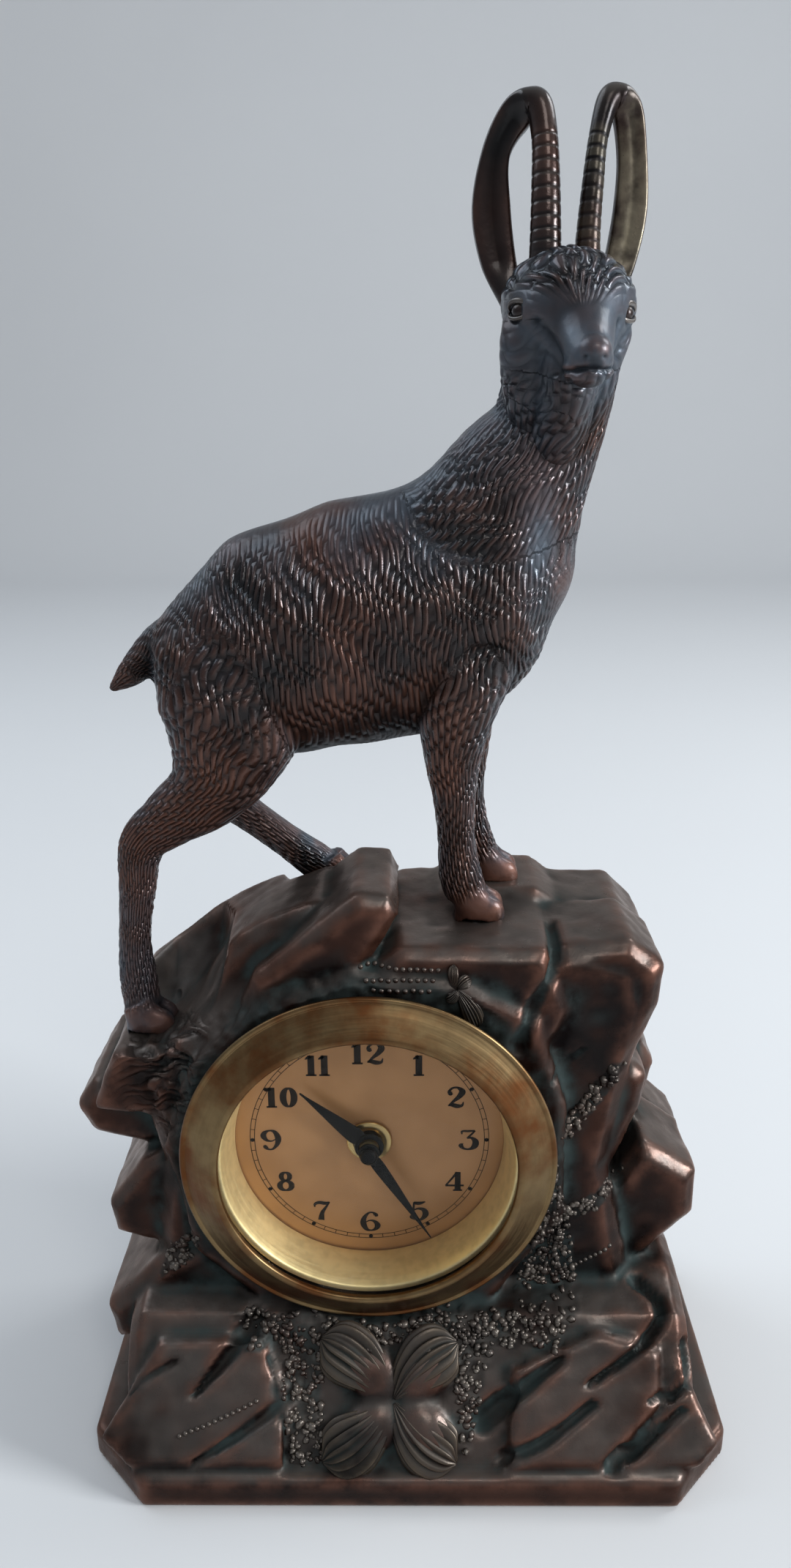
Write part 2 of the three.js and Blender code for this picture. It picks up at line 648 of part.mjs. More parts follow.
function bezelRing() {
  const rim = BEZEL_RADIUS;
  return turned([
    [rim, BEZEL_FOOT],
    [rim + 0.4, BEZEL_FOOT + 0.7],
    [rim - 0.2, BEZEL_FOOT + 1.4],
    [BEZEL_OPENING + 1.6, BEZEL_NOSE - 0.2],
    [BEZEL_OPENING + 0.6, BEZEL_NOSE],
    [BEZEL_OPENING, BEZEL_NOSE - 0.7],
    [BEZEL_OPENING, GLASS_FRONT + SEAT_GAP],
    [SKIRT_BORE - 0.4, GLASS_FRONT + SEAT_GAP],
    [SKIRT_BORE - 0.4, GLASS_BACK - 0.2],
    [SKIRT_BORE, GLASS_BACK - 0.2],
    [SKIRT_BORE, BEZEL_FOOT - 4.5],
    [SKIRT_BORE + 1.1, BEZEL_FOOT - 4.5],
    [SKIRT_BORE + 1.1, BEZEL_NOSE - 2.8],
    [rim - 1.6, BEZEL_FOOT + 1.2],
    [rim - 1.6, BEZEL_FOOT],
  ]);
}

const glassDisc = () =>
  turned([
    [0, GLASS_BACK],
    [SKIRT_BORE - 0.8, GLASS_BACK],
    [SKIRT_BORE - 0.8, GLASS_FRONT],
    [SKIRT_BORE * 0.55, GLASS_FRONT + 0.7],
    [0, GLASS_FRONT + 1],
  ]);

function reflectorRing() {
  const outer = SKIRT_BORE - 0.8;
  const foot = DRUM_RADIUS - RING_INSET;
  return turned([
    [outer, DRUM_FRONT + SEAT_GAP],
    [outer, GLASS_BACK - SEAT_GAP],
    [outer - 1.4, GLASS_BACK - SEAT_GAP],
    [outer - 1.9, DRUM_FRONT - 0.4],
    [foot, SEAT_GAP],
    [foot + RING_WALL, SEAT_GAP],
    [outer - 1.1, DRUM_FRONT - 0.6],
  ]);
}

const drumCase = () => tube(DRUM_RADIUS - DRUM_WALL, DRUM_RADIUS, DRUM_BACK, DRUM_FRONT, ROUND);

// Movement: heights before the dial's front face, so pieces behind the dial are negative
const FRONT_PLATE_FRONT = -PLATE_DROP;
const FRONT_PLATE_BACK = FRONT_PLATE_FRONT - PLATE_THICKNESS;
const BACK_PLATE_FRONT = FRONT_PLATE_BACK - PLATE_SPACE;
const BACK_PLATE_BACK = BACK_PLATE_FRONT - PLATE_THICKNESS;
const COVER_FRONT = DRUM_BACK - SEAT_GAP;
const COVER_BACK = COVER_FRONT - COVER_THICKNESS;

/** Tooth counts and modules: a wheel's pitch radius is half its teeth times its module. */
const CANNON = { teeth: 8, module: 0.6 };
const MINUTE_WHEEL = { teeth: 24, module: 0.6 };
const MINUTE_PINION = { teeth: 8, module: 0.48 };
const HOUR_WHEEL = { teeth: 32, module: 0.48 };
const GREAT_WHEEL = { teeth: 48, module: 0.5625 };
const CENTRE_PINION = { teeth: 8, module: 0.5625 };
const pitch = ({ teeth, module }) => (teeth * module) / 2;
const meshDistance = (a, b) => pitch(a) + pitch(b);

const polar = (radius, degrees) => {
  const angle = THREE.MathUtils.degToRad(degrees);
  return [radius * Math.cos(angle), radius * Math.sin(angle)];
};

// Directions from the centre arbor to the other arbors, in degrees
const MINUTE_WHEEL_BEARING = 20;
const BARREL_BEARING = 210;
const CENTRE_AT = [0, 0];
const MINUTE_WHEEL_AT = polar(meshDistance(CANNON, MINUTE_WHEEL), MINUTE_WHEEL_BEARING);
const BARREL_AT = polar(meshDistance(GREAT_WHEEL, CENTRE_PINION), BARREL_BEARING);
const PILLAR_BEARINGS = [45, 135, 270, 345];
const CASE_POST_BEARINGS = [90, 300];
const CASE_POST_CIRCLE = 22;
const FOOT_BEARINGS = [100, 250];
const FOOT_CIRCLE = 21;

// A tooth as [share of the tooth spacing, reach in modules] corners: pointed on wheels, blunt on pinions
const WHEEL_TOOTH = [[-0.5, -1.5], [0, 0.85]];
const PINION_LEAF = [[-0.24, -1.2], [-0.09, 0.75], [0.09, 0.75], [0.24, -1.2]];

/** A toothed outline with straight-flanked teeth, the first centred on the given bearing in degrees. */
function toothedOutline({ teeth, module }, bearing, tooth) {
  const middle = pitch({ teeth, module });
  const step = (2 * Math.PI) / teeth;
  const start = THREE.MathUtils.degToRad(bearing);
  return Array.from({ length: teeth }, (_, i) =>
    tooth.map(([turn, reach]) => {
      const angle = start + step * (i + turn);
      const radius = middle + reach * module;
      return [radius * Math.cos(angle), radius * Math.sin(angle)];
    }),
  ).flat();
}

const toothed = (gear, from, to, bearing, tooth = WHEEL_TOOTH) =>
  plate(toothedOutline(gear, bearing, tooth), from, to);

/** The bearing of a wheel's first tooth that leaves a gap between two teeth in the given direction. */
const gapTowards = ({ teeth }, bearing) => bearing + 180 / teeth;

/** A hole of the given radius and place through a plate that lies between two heights. */
const hole = (radius, [x, y], back, front) => bar(radius, back - 1, front + 1).translate(x, y, 0);

const POST_RADIUS = 3;
const FOOT_RADIUS = 0.8;
const STUD_PIN_RADIUS = 0.9;

/** A movement plate with holes of [radius, place]. */
const movementPlate = (back, front, holes) =>
  carve(bar(PLATE_RADIUS, back, front, ROUND), ...holes.map(([radius, at]) => hole(radius, at, back, front)));

function frontPlate() {
  const feet = FOOT_BEARINGS.map((bearing) => [FOOT_RADIUS + SEAT_GAP, polar(FOOT_CIRCLE, bearing)]);
  const pivots = [
    [ARBOR_RADIUS + RUNNING_GAP, CENTRE_AT],
    [STUD_PIN_RADIUS + RUNNING_GAP, BARREL_AT],
  ];
  const pin = bar(STUD_PIN_RADIUS, FRONT_PLATE_FRONT - 0.5, MINUTE_PINION_FRONT + 0.2);
  const bare = movementPlate(FRONT_PLATE_BACK, FRONT_PLATE_FRONT, [...pivots, ...feet]);
  return fuse(bare, pin.translate(...MINUTE_WHEEL_AT, 0));
}

const WINDING_RADIUS = 1.8;
const backPlate = () =>
  movementPlate(BACK_PLATE_BACK, BACK_PLATE_FRONT, [
    [ARBOR_RADIUS + RUNNING_GAP, CENTRE_AT],
    [WINDING_RADIUS + RUNNING_GAP, BARREL_AT],
  ]);

const pillar = (bearing) =>
  bar(PILLAR_RADIUS, BACK_PLATE_FRONT + SEAT_GAP, FRONT_PLATE_BACK - SEAT_GAP).translate(
    ...polar(PILLAR_CIRCLE, bearing),
    0,
  );

const POST_BORE = SCREW_RADIUS + SEAT_GAP;
const casePost = (bearing) =>
  tube(POST_BORE, POST_RADIUS, COVER_FRONT + SEAT_GAP, BACK_PLATE_BACK - SEAT_GAP).translate(
    ...polar(CASE_POST_CIRCLE, bearing),
    0,
  );

/** A slotted cheese-head screw along +Z with its head behind the given height. */
function slottedScrew(radius, headRadius, headHeight, under, length, slotDegrees) {
  const shank = bar(radius, under - 0.1, under + length);
  const head = bar(headRadius, under - headHeight, under);
  const top = under - headHeight;
  const slot = block([-headRadius, -0.4, top - 1], [headRadius, 0.4, top + headHeight / 2]);
  return carve(fuse(shank, head), slot.rotateZ(THREE.MathUtils.degToRad(slotDegrees)));
}

const caseScrew = (bearing) =>
  slottedScrew(SCREW_RADIUS, 2.8, 1.8, COVER_BACK - SEAT_GAP, 7.5, bearing).translate(
    ...polar(CASE_POST_CIRCLE, bearing),
    0,
  );

function backCover() {
  const rim = turned([
    [0, COVER_BACK],
    [COVER_RADIUS - 1, COVER_BACK],
    [COVER_RADIUS, COVER_BACK + 0.5],
    [COVER_RADIUS, COVER_FRONT],
    [0, COVER_FRONT],
  ]);
  const screws = CASE_POST_BEARINGS.map((bearing) => polar(CASE_POST_CIRCLE, bearing));
  return carve(
    rim,
    hole(ARBOR_RADIUS + 0.6, CENTRE_AT, COVER_BACK, COVER_FRONT),
    hole(WINDING_RADIUS + 0.6, BARREL_AT, COVER_BACK, COVER_FRONT),
    ...screws.map((at) => hole(SCREW_RADIUS + SEAT_GAP, at, COVER_BACK, COVER_FRONT)),
  );
}

// Motion works: cannon pinion on the centre arbor, minute wheel on its stud, hour wheel on the cannon
const CANNON_BACK = FRONT_PLATE_FRONT + 0.3;
const HOUR_WHEEL_BACK = CANNON_BACK + 1.5;
const WHEEL_THICKNESS = 0.7;
const MINUTE_PINION_FRONT = -1.5;
const HOUR_PIPE_RADIUS = 2;
const HOUR_PIPE_FRONT = 3.2;
const HOUR_HAND_BACK = 2.2;
const MINUTE_HAND_BACK = 4.6;
const ARBOR_FRONT = 6.4;
const KNOB_FRONT = COVER_BACK - 1.2;
const KNOB_LENGTH = 6;
const ARBOR_BACK = KNOB_FRONT - KNOB_LENGTH + 1;

const centreArbor = () =>
  fuse(
    bar(ARBOR_RADIUS, ARBOR_BACK, ARBOR_FRONT),
    toothed(CANNON, CANNON_BACK, CANNON_BACK + 1, MINUTE_WHEEL_BEARING, PINION_LEAF),
    toothed(CENTRE_PINION, GREAT_BACK - 0.4, GREAT_BACK + GREAT_THICKNESS + 0.4, BARREL_BEARING, PINION_LEAF),
  );

function minuteWheel() {
  const bearing = gapTowards(MINUTE_WHEEL, MINUTE_WHEEL_BEARING + 180);
  const front = CANNON_BACK + WHEEL_THICKNESS;
  const wheel = fuse(
    toothed(MINUTE_WHEEL, CANNON_BACK, front, bearing),
    toothed(MINUTE_PINION, front - 0.1, MINUTE_PINION_FRONT, MINUTE_WHEEL_BEARING + 180, PINION_LEAF),
  );
  const bore = hole(STUD_PIN_RADIUS + RUNNING_GAP, CENTRE_AT, CANNON_BACK, MINUTE_PINION_FRONT);
  return carve(wheel, bore).translate(...MINUTE_WHEEL_AT, 0);
}

function hourWheel() {
  const bearing = gapTowards(HOUR_WHEEL, MINUTE_WHEEL_BEARING);
  const wheel = fuse(
    toothed(HOUR_WHEEL, HOUR_WHEEL_BACK, HOUR_WHEEL_BACK + WHEEL_THICKNESS, bearing),
    bar(HOUR_PIPE_RADIUS, HOUR_WHEEL_BACK, HOUR_PIPE_FRONT),
  );
  return carve(wheel, hole(ARBOR_RADIUS + RUNNING_GAP, CENTRE_AT, HOUR_WHEEL_BACK, HOUR_PIPE_FRONT));
}

// Dial and hands
const EYELET_BORE = 3;
const EYELET_RADIUS = 4.4;
const DIAL_RADIUS = DRUM_RADIUS - DRUM_WALL - SEAT_GAP;

function dialPlate() {
  const disc = tube(EYELET_RADIUS + SEAT_GAP, DIAL_RADIUS, -DIAL_THICKNESS, 0, ROUND);
  const foot = () => bar(FOOT_RADIUS, FRONT_PLATE_BACK - 0.5, -DIAL_THICKNESS + 0.2, 8);
  const feet = FOOT_BEARINGS.map((bearing) => foot().translate(...polar(FOOT_CIRCLE, bearing), 0));
  return fuse(disc, ...feet);
}

const dialEyelet = () =>
  turned(
    [
      [EYELET_BORE, -DIAL_THICKNESS],
      [EYELET_RADIUS, -DIAL_THICKNESS],
      [EYELET_RADIUS, SEAT_GAP],
      [EYELET_RADIUS + 1, SEAT_GAP],
      [EYELET_RADIUS + 0.7, SEAT_GAP + 0.6],
      [EYELET_BORE, SEAT_GAP + 0.6],
    ],
    MIDDLE_ROUND / 2,
  );

/** A tapered hand that points up +Y from a round boss, thickened from the given height. */
function hand(length, width, boss, bore, back) {
  const right = [[width / 2, 0], [width * 0.42, length * 0.35], [0.25, length]];
  const blade = [...right, ...right.map(([x, y]) => [-x, y]).reverse()];
  const front = back + HAND_THICKNESS;
  const solid = fuse(plate(blade, back, front), bar(boss, back, front + 0.5));
  return carve(solid, hole(bore, CENTRE_AT, back, front + 1));
}

const turnClockwise = (geometry, degrees) => geometry.rotateZ(-THREE.MathUtils.degToRad(degrees));
const MINUTE_DEGREES = SHOWN_MINUTE * 6;
const HOUR_DEGREES = SHOWN_HOUR * 30 + SHOWN_MINUTE / 2;

const minuteHand = () =>
  turnClockwise(hand(MINUTE_HAND_LENGTH, 3, 2.4, ARBOR_RADIUS + SEAT_GAP, MINUTE_HAND_BACK), MINUTE_DEGREES);
const hourHand = () =>
  turnClockwise(hand(HOUR_HAND_LENGTH, 4.4, 3.4, HOUR_PIPE_RADIUS + SEAT_GAP, HOUR_HAND_BACK), HOUR_DEGREES);

const handNut = () =>
  turned(
    [
      [0, ARBOR_FRONT + SEAT_GAP],
      [ARBOR_RADIUS + SEAT_GAP, ARBOR_FRONT + SEAT_GAP],
      [ARBOR_RADIUS + SEAT_GAP, MINUTE_HAND_BACK + HAND_THICKNESS + 0.8],
      [2, MINUTE_HAND_BACK + HAND_THICKNESS + 0.8],
      [2, ARBOR_FRONT + 0.2],
      [1.2, ARBOR_FRONT + 1],
      [0, ARBOR_FRONT + 1.2],
    ],
    SMALL_ROUND,
  );

const KNOB_RADIUS = 5;
const KNOB_RIBS = 12;

/** The ribbed knob on the back of the centre arbor that sets the hands. */
function settingKnob() {
  const outline = Array.from({ length: KNOB_RIBS * 2 }, (_, i) =>
    polar(KNOB_RADIUS - (i % 2) * 0.4, (i * 180) / KNOB_RIBS),
  );
  const knob = fuse(
    plate(outline, KNOB_FRONT - KNOB_LENGTH, KNOB_FRONT - 2, 0.3),
    bar(2.6, KNOB_FRONT - 2.5, KNOB_FRONT),
  );
  return carve(knob, bar(ARBOR_RADIUS + SEAT_GAP, ARBOR_BACK - SEAT_GAP, KNOB_FRONT + 1));
}

// Barrel and winding
const GREAT_BACK = BACK_PLATE_FRONT + 1;
const GREAT_THICKNESS = 1.4;
const BARREL_RADIUS = 12;
const BARREL_LENGTH = 13;
const BARREL_WALL = 1;
const BARREL_FRONT = GREAT_BACK + BARREL_LENGTH;
const BARREL_ARBOR_RADIUS = 2.4;
const HUB_RADIUS = BARREL_ARBOR_RADIUS + 2;
const KEY_FRONT = COVER_BACK - 1.2;
const KEY_LENGTH = 14;
const KEY_REACH = 9.5;

function mainspringBarrel() {
  const floor = GREAT_BACK + GREAT_THICKNESS;
  const drum = fuse(
    toothed(GREAT_WHEEL, GREAT_BACK, floor, gapTowards(GREAT_WHEEL, BARREL_BEARING + 180)),
    bar(BARREL_RADIUS, GREAT_BACK, BARREL_FRONT, MIDDLE_ROUND),
  );
  const chamber = tube(HUB_RADIUS, BARREL_RADIUS - BARREL_WALL, floor, BARREL_FRONT + 1, MIDDLE_ROUND);
  const bore = hole(BARREL_ARBOR_RADIUS + RUNNING_GAP, CENTRE_AT, GREAT_BACK, BARREL_FRONT);
  return carve(drum, chamber, bore).translate(...BARREL_AT, 0);
}

const barrelCap = () =>
  turned(
    [
      [BARREL_ARBOR_RADIUS + RUNNING_GAP, BARREL_FRONT + SEAT_GAP],
      [BARREL_RADIUS, BARREL_FRONT + SEAT_GAP],
      [BARREL_RADIUS, BARREL_FRONT + SEAT_GAP + 1],
      [BARREL_ARBOR_RADIUS + RUNNING_GAP, BARREL_FRONT + SEAT_GAP + 1],
    ],
    MIDDLE_ROUND,
  ).translate(...BARREL_AT, 0);

const MAINSPRING_TURNS = 4;
const MAINSPRING_STEEL = 0.4;
const MAINSPRING_STEPS = 10; // to a turn

/** The mainspring: a flat spiral that fills the barrel between its hub and its wall. */
function mainspring() {
  const inner = HUB_RADIUS + SEAT_GAP;
  const outer = BARREL_RADIUS - BARREL_WALL - SEAT_GAP - MAINSPRING_STEEL;
  const steps = MAINSPRING_TURNS * MAINSPRING_STEPS;
  const edge = (offset) =>
    Array.from({ length: steps + 1 }, (_, i) =>
      polar(inner + offset + ((outer - inner) * i) / steps, (i * 360) / MAINSPRING_STEPS),
    );
  const strip = [...edge(0), ...edge(MAINSPRING_STEEL).reverse()];
  const back = GREAT_BACK + GREAT_THICKNESS + SEAT_GAP;
  return plate(strip, back, BARREL_FRONT - SEAT_GAP).translate(...BARREL_AT, 0);
}

const windingArbor = () =>
  fuse(
    bar(STUD_PIN_RADIUS, FRONT_PLATE_BACK - 0.5, FRONT_PLATE_FRONT),
    bar(BARREL_ARBOR_RADIUS, BACK_PLATE_FRONT + RUNNING_GAP, FRONT_PLATE_BACK - RUNNING_GAP),
    bar(WINDING_RADIUS, KEY_FRONT - 5, BACK_PLATE_FRONT + 1),
  ).translate(...BARREL_AT, 0);

/** The wing key: a round socket on the arbor with two pierced ears. */
function windingKey() {
  const socket = bar(3.2, KEY_FRONT - 8, KEY_FRONT);
  const ear = new THREE.Shape();
  ear.absarc(KEY_REACH - 4.8, 0, 4.8, 0, 2 * Math.PI);
  const ears = [-1, 1].map((side) => {
    const disc = new THREE.ExtrudeGeometry(ear, { depth: 2, bevelEnabled: false, curveSegments: 10 });
    const pierced = carve(disc.translate(0, 0, -1), bar(1.8, -3, 3, 12).translate(KEY_REACH - 4.8, 0, 0));
    const upright = pierced.rotateX(Math.PI / 2).translate(0, 0, KEY_FRONT - KEY_LENGTH + 5.2);
    return side < 0 ? upright.rotateZ(Math.PI) : upright;
  });
  const key = fuse(socket, ...ears);
  return carve(key, bar(WINDING_RADIUS + SEAT_GAP, KEY_FRONT - 5 - SEAT_GAP, KEY_FRONT + 1)).translate(
    ...BARREL_AT,
    0,
  );
}

// Assembly
const root = new THREE.Group();
const clock = new THREE.Group();
clock.position.set(CLOCK_X, DIAL_Y, CLOCK_HEIGHT);
clock.rotation.x = Math.PI / 2; // the clock's own +Z looks out of the dial
root.add(clock);

function add(group, name, geometry, material) {
  const mesh = new THREE.Mesh(geometry, material);
  mesh.name = name;
  group.add(mesh);
}

add(root, "rock_casting", rockCasting(), BRONZE);
add(root, "chamois_casting", chamoisCasting(), BRONZE);
add(root, "left_horn", hornCasting(-1, EAR_SPREAD.left), BRONZE);
add(root, "right_horn", hornCasting(1, EAR_SPREAD.right), BRONZE);
STUDS.forEach((at, i) => {
  add(root, `${STUD_NAMES[i]}_stud`, stud(at), STEEL);
  add(root, `${STUD_NAMES[i]}_washer`, washer(at), STEEL);
  add(root, `${STUD_NAMES[i]}_nut`, nut(at), STEEL);
});
add(root, "base_cover", baseCover(), TIN);
baseScrewPlaces.forEach((at, i) => add(root, `base_screw_${i + 1}`, baseScrew(at), STEEL));

add(clock, "bezel", bezelRing(), BRASS);
add(clock, "glass", glassDisc(), GLASS);
add(clock, "reflector_ring", reflectorRing(), GILT);
add(clock, "drum_case", drumCase(), TIN);
add(clock, "back_cover", backCover(), TIN);
add(clock, "dial", dialPlate(), DIAL_FINISH);
add(clock, "dial_eyelet", dialEyelet(), BRASS);
add(clock, "hour_hand", hourHand(), BLACK);
add(clock, "minute_hand", minuteHand(), BLACK);
add(clock, "hand_nut", handNut(), BLACK);
add(clock, "front_plate", frontPlate(), BRASS);
add(clock, "back_plate", backPlate(), BRASS);
PILLAR_BEARINGS.forEach((bearing, i) => add(clock, `plate_pillar_${i + 1}`, pillar(bearing), BRASS));
CASE_POST_BEARINGS.forEach((bearing, i) => {
  add(clock, `case_post_${i + 1}`, casePost(bearing), BRASS);
  add(clock, `case_screw_${i + 1}`, caseScrew(bearing), STEEL);
});
add(clock, "centre_arbor", centreArbor(), STEEL);
add(clock, "minute_wheel", minuteWheel(), BRASS);
add(clock, "hour_wheel", hourWheel(), BRASS);
add(clock, "mainspring_barrel", mainspringBarrel(), BRASS);
add(clock, "barrel_cap", barrelCap(), BRASS);
add(clock, "mainspring", mainspring(), STEEL);
add(clock, "winding_arbor", windingArbor(), STEEL);
add(clock, "winding_key", windingKey(), BRASS);
add(clock, "setting_knob", settingKnob(), BRASS);

export default root;
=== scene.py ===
"""Looks of a figural desk clock: a cast chamois on a rock that holds a round wind-up clock.

The clock's sizes are in millimetres and become metres when a mesh is made. The studio's are in metres. +Z is
up, the dial looks along -Y, and the frame's own boxes say where the clock's axis and the dial are.
"""

import json
import logging
import math
from dataclasses import dataclass, field
from enum import Enum
from typing import Iterable, Sequence, Union

import bpy
import numpy as np
from mathutils import Matrix, Vector
from mathutils.bvhtree import BVHTree


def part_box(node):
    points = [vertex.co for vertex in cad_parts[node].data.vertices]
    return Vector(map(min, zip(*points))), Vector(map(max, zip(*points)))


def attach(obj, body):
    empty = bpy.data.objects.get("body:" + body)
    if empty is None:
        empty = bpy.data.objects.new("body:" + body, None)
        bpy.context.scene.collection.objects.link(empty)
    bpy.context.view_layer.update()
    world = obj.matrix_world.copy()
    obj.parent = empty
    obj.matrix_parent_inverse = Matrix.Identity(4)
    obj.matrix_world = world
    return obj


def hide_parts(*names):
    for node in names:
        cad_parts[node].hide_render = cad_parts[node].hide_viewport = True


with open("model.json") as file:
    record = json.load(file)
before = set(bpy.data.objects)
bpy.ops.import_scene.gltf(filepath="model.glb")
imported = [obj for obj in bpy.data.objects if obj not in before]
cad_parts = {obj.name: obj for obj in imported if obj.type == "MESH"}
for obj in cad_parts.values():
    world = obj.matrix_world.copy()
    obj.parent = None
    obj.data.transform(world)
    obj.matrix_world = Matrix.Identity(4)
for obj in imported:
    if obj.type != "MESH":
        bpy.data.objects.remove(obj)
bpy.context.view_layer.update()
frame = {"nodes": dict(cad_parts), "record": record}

MM = 0.001
TINY = 1e-9
STAGGER = 0.618
LONGEST_ROUNDING = 0.45
LEAST_CUT = 0.2
UPRIGHT = ((1, 0, 0), (0, 0, -1), (0, 1, 0))
SIDEWAYS = (1, 0, 0)
CLOCK_BODY = "clock"
log = logging.getLogger("desk_clock")

Array = np.ndarray
Section = tuple[float, float, float, float, float]
Colour = tuple[float, float, float]
Point = tuple[float, float, float]
Socket = bpy.types.NodeSocket
Feed = Union[Socket, float, Colour]


# Surfaces


@dataclass
class Surface:
    """Points in millimetres with the four- and three-cornered faces between them."""

    points: Array
    quads: Array = field(default_factory=lambda: np.zeros((0, 4), int))
    triangles: Array = field(default_factory=lambda: np.zeros((0, 3), int))

    @staticmethod
    def join(parts: Iterable["Surface"]) -> "Surface":
        """Put several surfaces into one.

        Args:
            parts: The surfaces, in any order.

        Returns:
            One surface that holds all their faces.
        """
        kept = list(parts)
        starts = np.cumsum([0] + [len(p.points) for p in kept[:-1]])
        return Surface(
            np.concatenate([p.points for p in kept]),
            np.concatenate([p.quads + s for p, s in zip(kept, starts)]),
            np.concatenate([p.triangles + s for p, s in zip(kept, starts)]),
        )

    def moved(self, turn: Array, place: Sequence[float]) -> "Surface":
        """Turn the surface about the origin by a 3 by 3 matrix, then shift it."""
        return Surface(self.points @ np.asarray(turn).T + np.asarray(place), self.quads, self.triangles)

    def mesh(self, name: str) -> bpy.types.Mesh:
        """Make a smooth-shaded mesh in metres.

        Args:
            name: The mesh's name.

        Returns:
            The new mesh.
        """
        mesh = bpy.data.meshes.new(name)
        corners = np.concatenate([self.quads.ravel(), self.triangles.ravel()]).astype(np.int32)
        totals = np.repeat([4, 3], [len(self.quads), len(self.triangles)]).astype(np.int32)
        mesh.vertices.add(len(self.points))
        mesh.vertices.foreach_set("co", (self.points * MM).astype(np.float32).ravel())
        mesh.loops.add(len(corners))
        mesh.loops.foreach_set("vertex_index", corners)
        mesh.polygons.add(len(totals))
        starts = np.concatenate([[0], np.cumsum(totals)[:-1]]).astype(np.int32)
        mesh.polygons.foreach_set("loop_start", starts)
        mesh.polygons.foreach_set("use_smooth", np.ones(len(totals), bool))
        mesh.update(calc_edges=True)
        mesh.validate()
        return mesh


def grid_quads(rows: int, columns: int, closed_rows: bool = False, closed_columns: bool = True) -> Array:
    """Faces of a grid of points numbered row by row.

    Args:
        rows: Number of rows.
        columns: Points in each row.
        closed_rows: Whether the last row meets the first.
        closed_columns: Whether each row closes on itself.

    Returns:
        The corners of each four-cornered face.
    """
    row = np.arange(rows if closed_rows else rows - 1)[:, None]
    column = np.arange(columns if closed_columns else columns - 1)[None, :]
    below = row * columns
    above = (row + 1) % rows * columns
    onward = (column + 1) % columns
    corners = [below + column, below + onward, above + onward, above + column]
    return np.stack(corners, axis=-1).reshape(-1, 4)


def end_caps(rows: int, around: int) -> Array:
    """Triangles that close a tube's two end rings over middle points, numbered after the rings' own."""
    k = np.arange(around)
    onward = (k + 1) % around
    last = (rows - 1) * around
    first_cap = np.stack([onward, k, np.full(around, rows * around)], axis=1)
    last_cap = np.stack([last + k, last + onward, np.full(around, rows * around + 1)], axis=1)
    return np.concatenate([first_cap, last_cap])


def ring_angles(around: int) -> Array:
    """Even angles round a ring."""
    return np.linspace(0, 2 * np.pi, around, endpoint=False)


def ramp(values: Array, start: float, end: float) -> Array:
    """How far values have come from start to end, from 0 to 1."""
    return np.clip((values - start) / (end - start), 0, 1)


def away(points: Array, places: Sequence[Sequence[float]], reach: Sequence[float] | float = 1) -> Array:
    """Distance of points from the nearest of some places, in reaches along x, y and z."""
    return np.linalg.norm((points[:, None, :] - np.array(places)) / np.asarray(reach), axis=2).min(1)


def spot(points: Array, middle: Sequence[float], reach: Sequence[float] | float, power: float = 2) -> Array:
    """A soft spot: exp(-d ** power), d being the distance from its middle in reaches."""
    return np.exp(-(away(points, [middle], reach) ** power))


def unit(vectors: Array) -> Array:
    """Scale vectors to length 1."""
    return vectors / np.maximum(np.linalg.norm(vectors, axis=-1, keepdims=True), TINY)


def smooth_curve(points: Sequence[Sequence[float]], steps: int) -> Array:
    """A Catmull-Rom curve: each span is the cubic that its four nearest points give.

    Args:
        points: The points that the curve passes through, with any number of columns.
        steps: Samples in each span.

    Returns:
        The sampled curve, one row a sample.
    """
    p = np.asarray(points, float)
    p = np.concatenate([[2 * p[0] - p[1]], p, [2 * p[-1] - p[-2]]])
    t = np.linspace(0, 1, steps, endpoint=False)[None, :, None]
    a, b, c, d = (p[i : len(p) - 3 + i, None, :] for i in range(4))
    spans = 0.5 * (2 * b + (c - a) * t + (2 * a - 5 * b + 4 * c - d) * t**2 + (3 * b - a - 3 * c + d) * t**3)
    return np.concatenate([spans.reshape(-1, p.shape[1]), p[-2:-1]])


@dataclass
class Spine:
    """The middle line of a limb: places, directions across and deep, half sizes and arc length."""

    places: Array
    across: Array
    deep: Array
    sizes: Array
    length: Array

    @staticmethod
    def through(sections: Sequence[Section], side: Sequence[float], steps: int) -> "Spine":
        """Sample a smooth line through oval sections.

        Args:
            sections: Rows of x, y, z, half size across, half size deep.
            side: The direction that the half size across is measured along.
            steps: Samples between two sections.

        Returns:
            The sampled line.
        """
        rows = smooth_curve(sections, steps)
        along = unit(np.gradient(rows[:, :3], axis=0))
        reference = np.asarray(side, float)
        across = unit(reference - (along @ reference)[:, None] * along)
        steps_along = np.linalg.norm(np.diff(rows[:, :3], axis=0), axis=1)
        length = np.concatenate([[0], np.cumsum(steps_along)])
        return Spine(rows[:, :3], across, np.cross(along, across), rows[:, 3:5], length)


def loft(spine: Spine, around: int, bulge: Array | None = None) -> Surface:
    """Ovals carried along a spine, closed at both ends.

    Each ring is centre + across cos(a) + deep sin(a), times the ring's half sizes and times 1 + bulge.

    Args:
        spine: The line that the ovals follow.
        around: Points in each ring.
        bulge: Extra share of the radius for each ring and angle.

    Returns:
        The closed surface.
    """
    angle = ring_angles(around)
    swell = 1 if bulge is None else 1 + bulge[:, :, None]
    x = spine.across[:, None, :] * (spine.sizes[:, :1] * np.cos(angle))[:, :, None]
    y = spine.deep[:, None, :] * (spine.sizes[:, 1:] * np.sin(angle))[:, :, None]
    rings = spine.places[:, None, :] + (x + y) * swell
    rows = len(spine.places)
    points = np.concatenate([rings.reshape(-1, 3), spine.places[[0, -1]]])
    return Surface(points, grid_quads(rows, around), end_caps(rows, around))


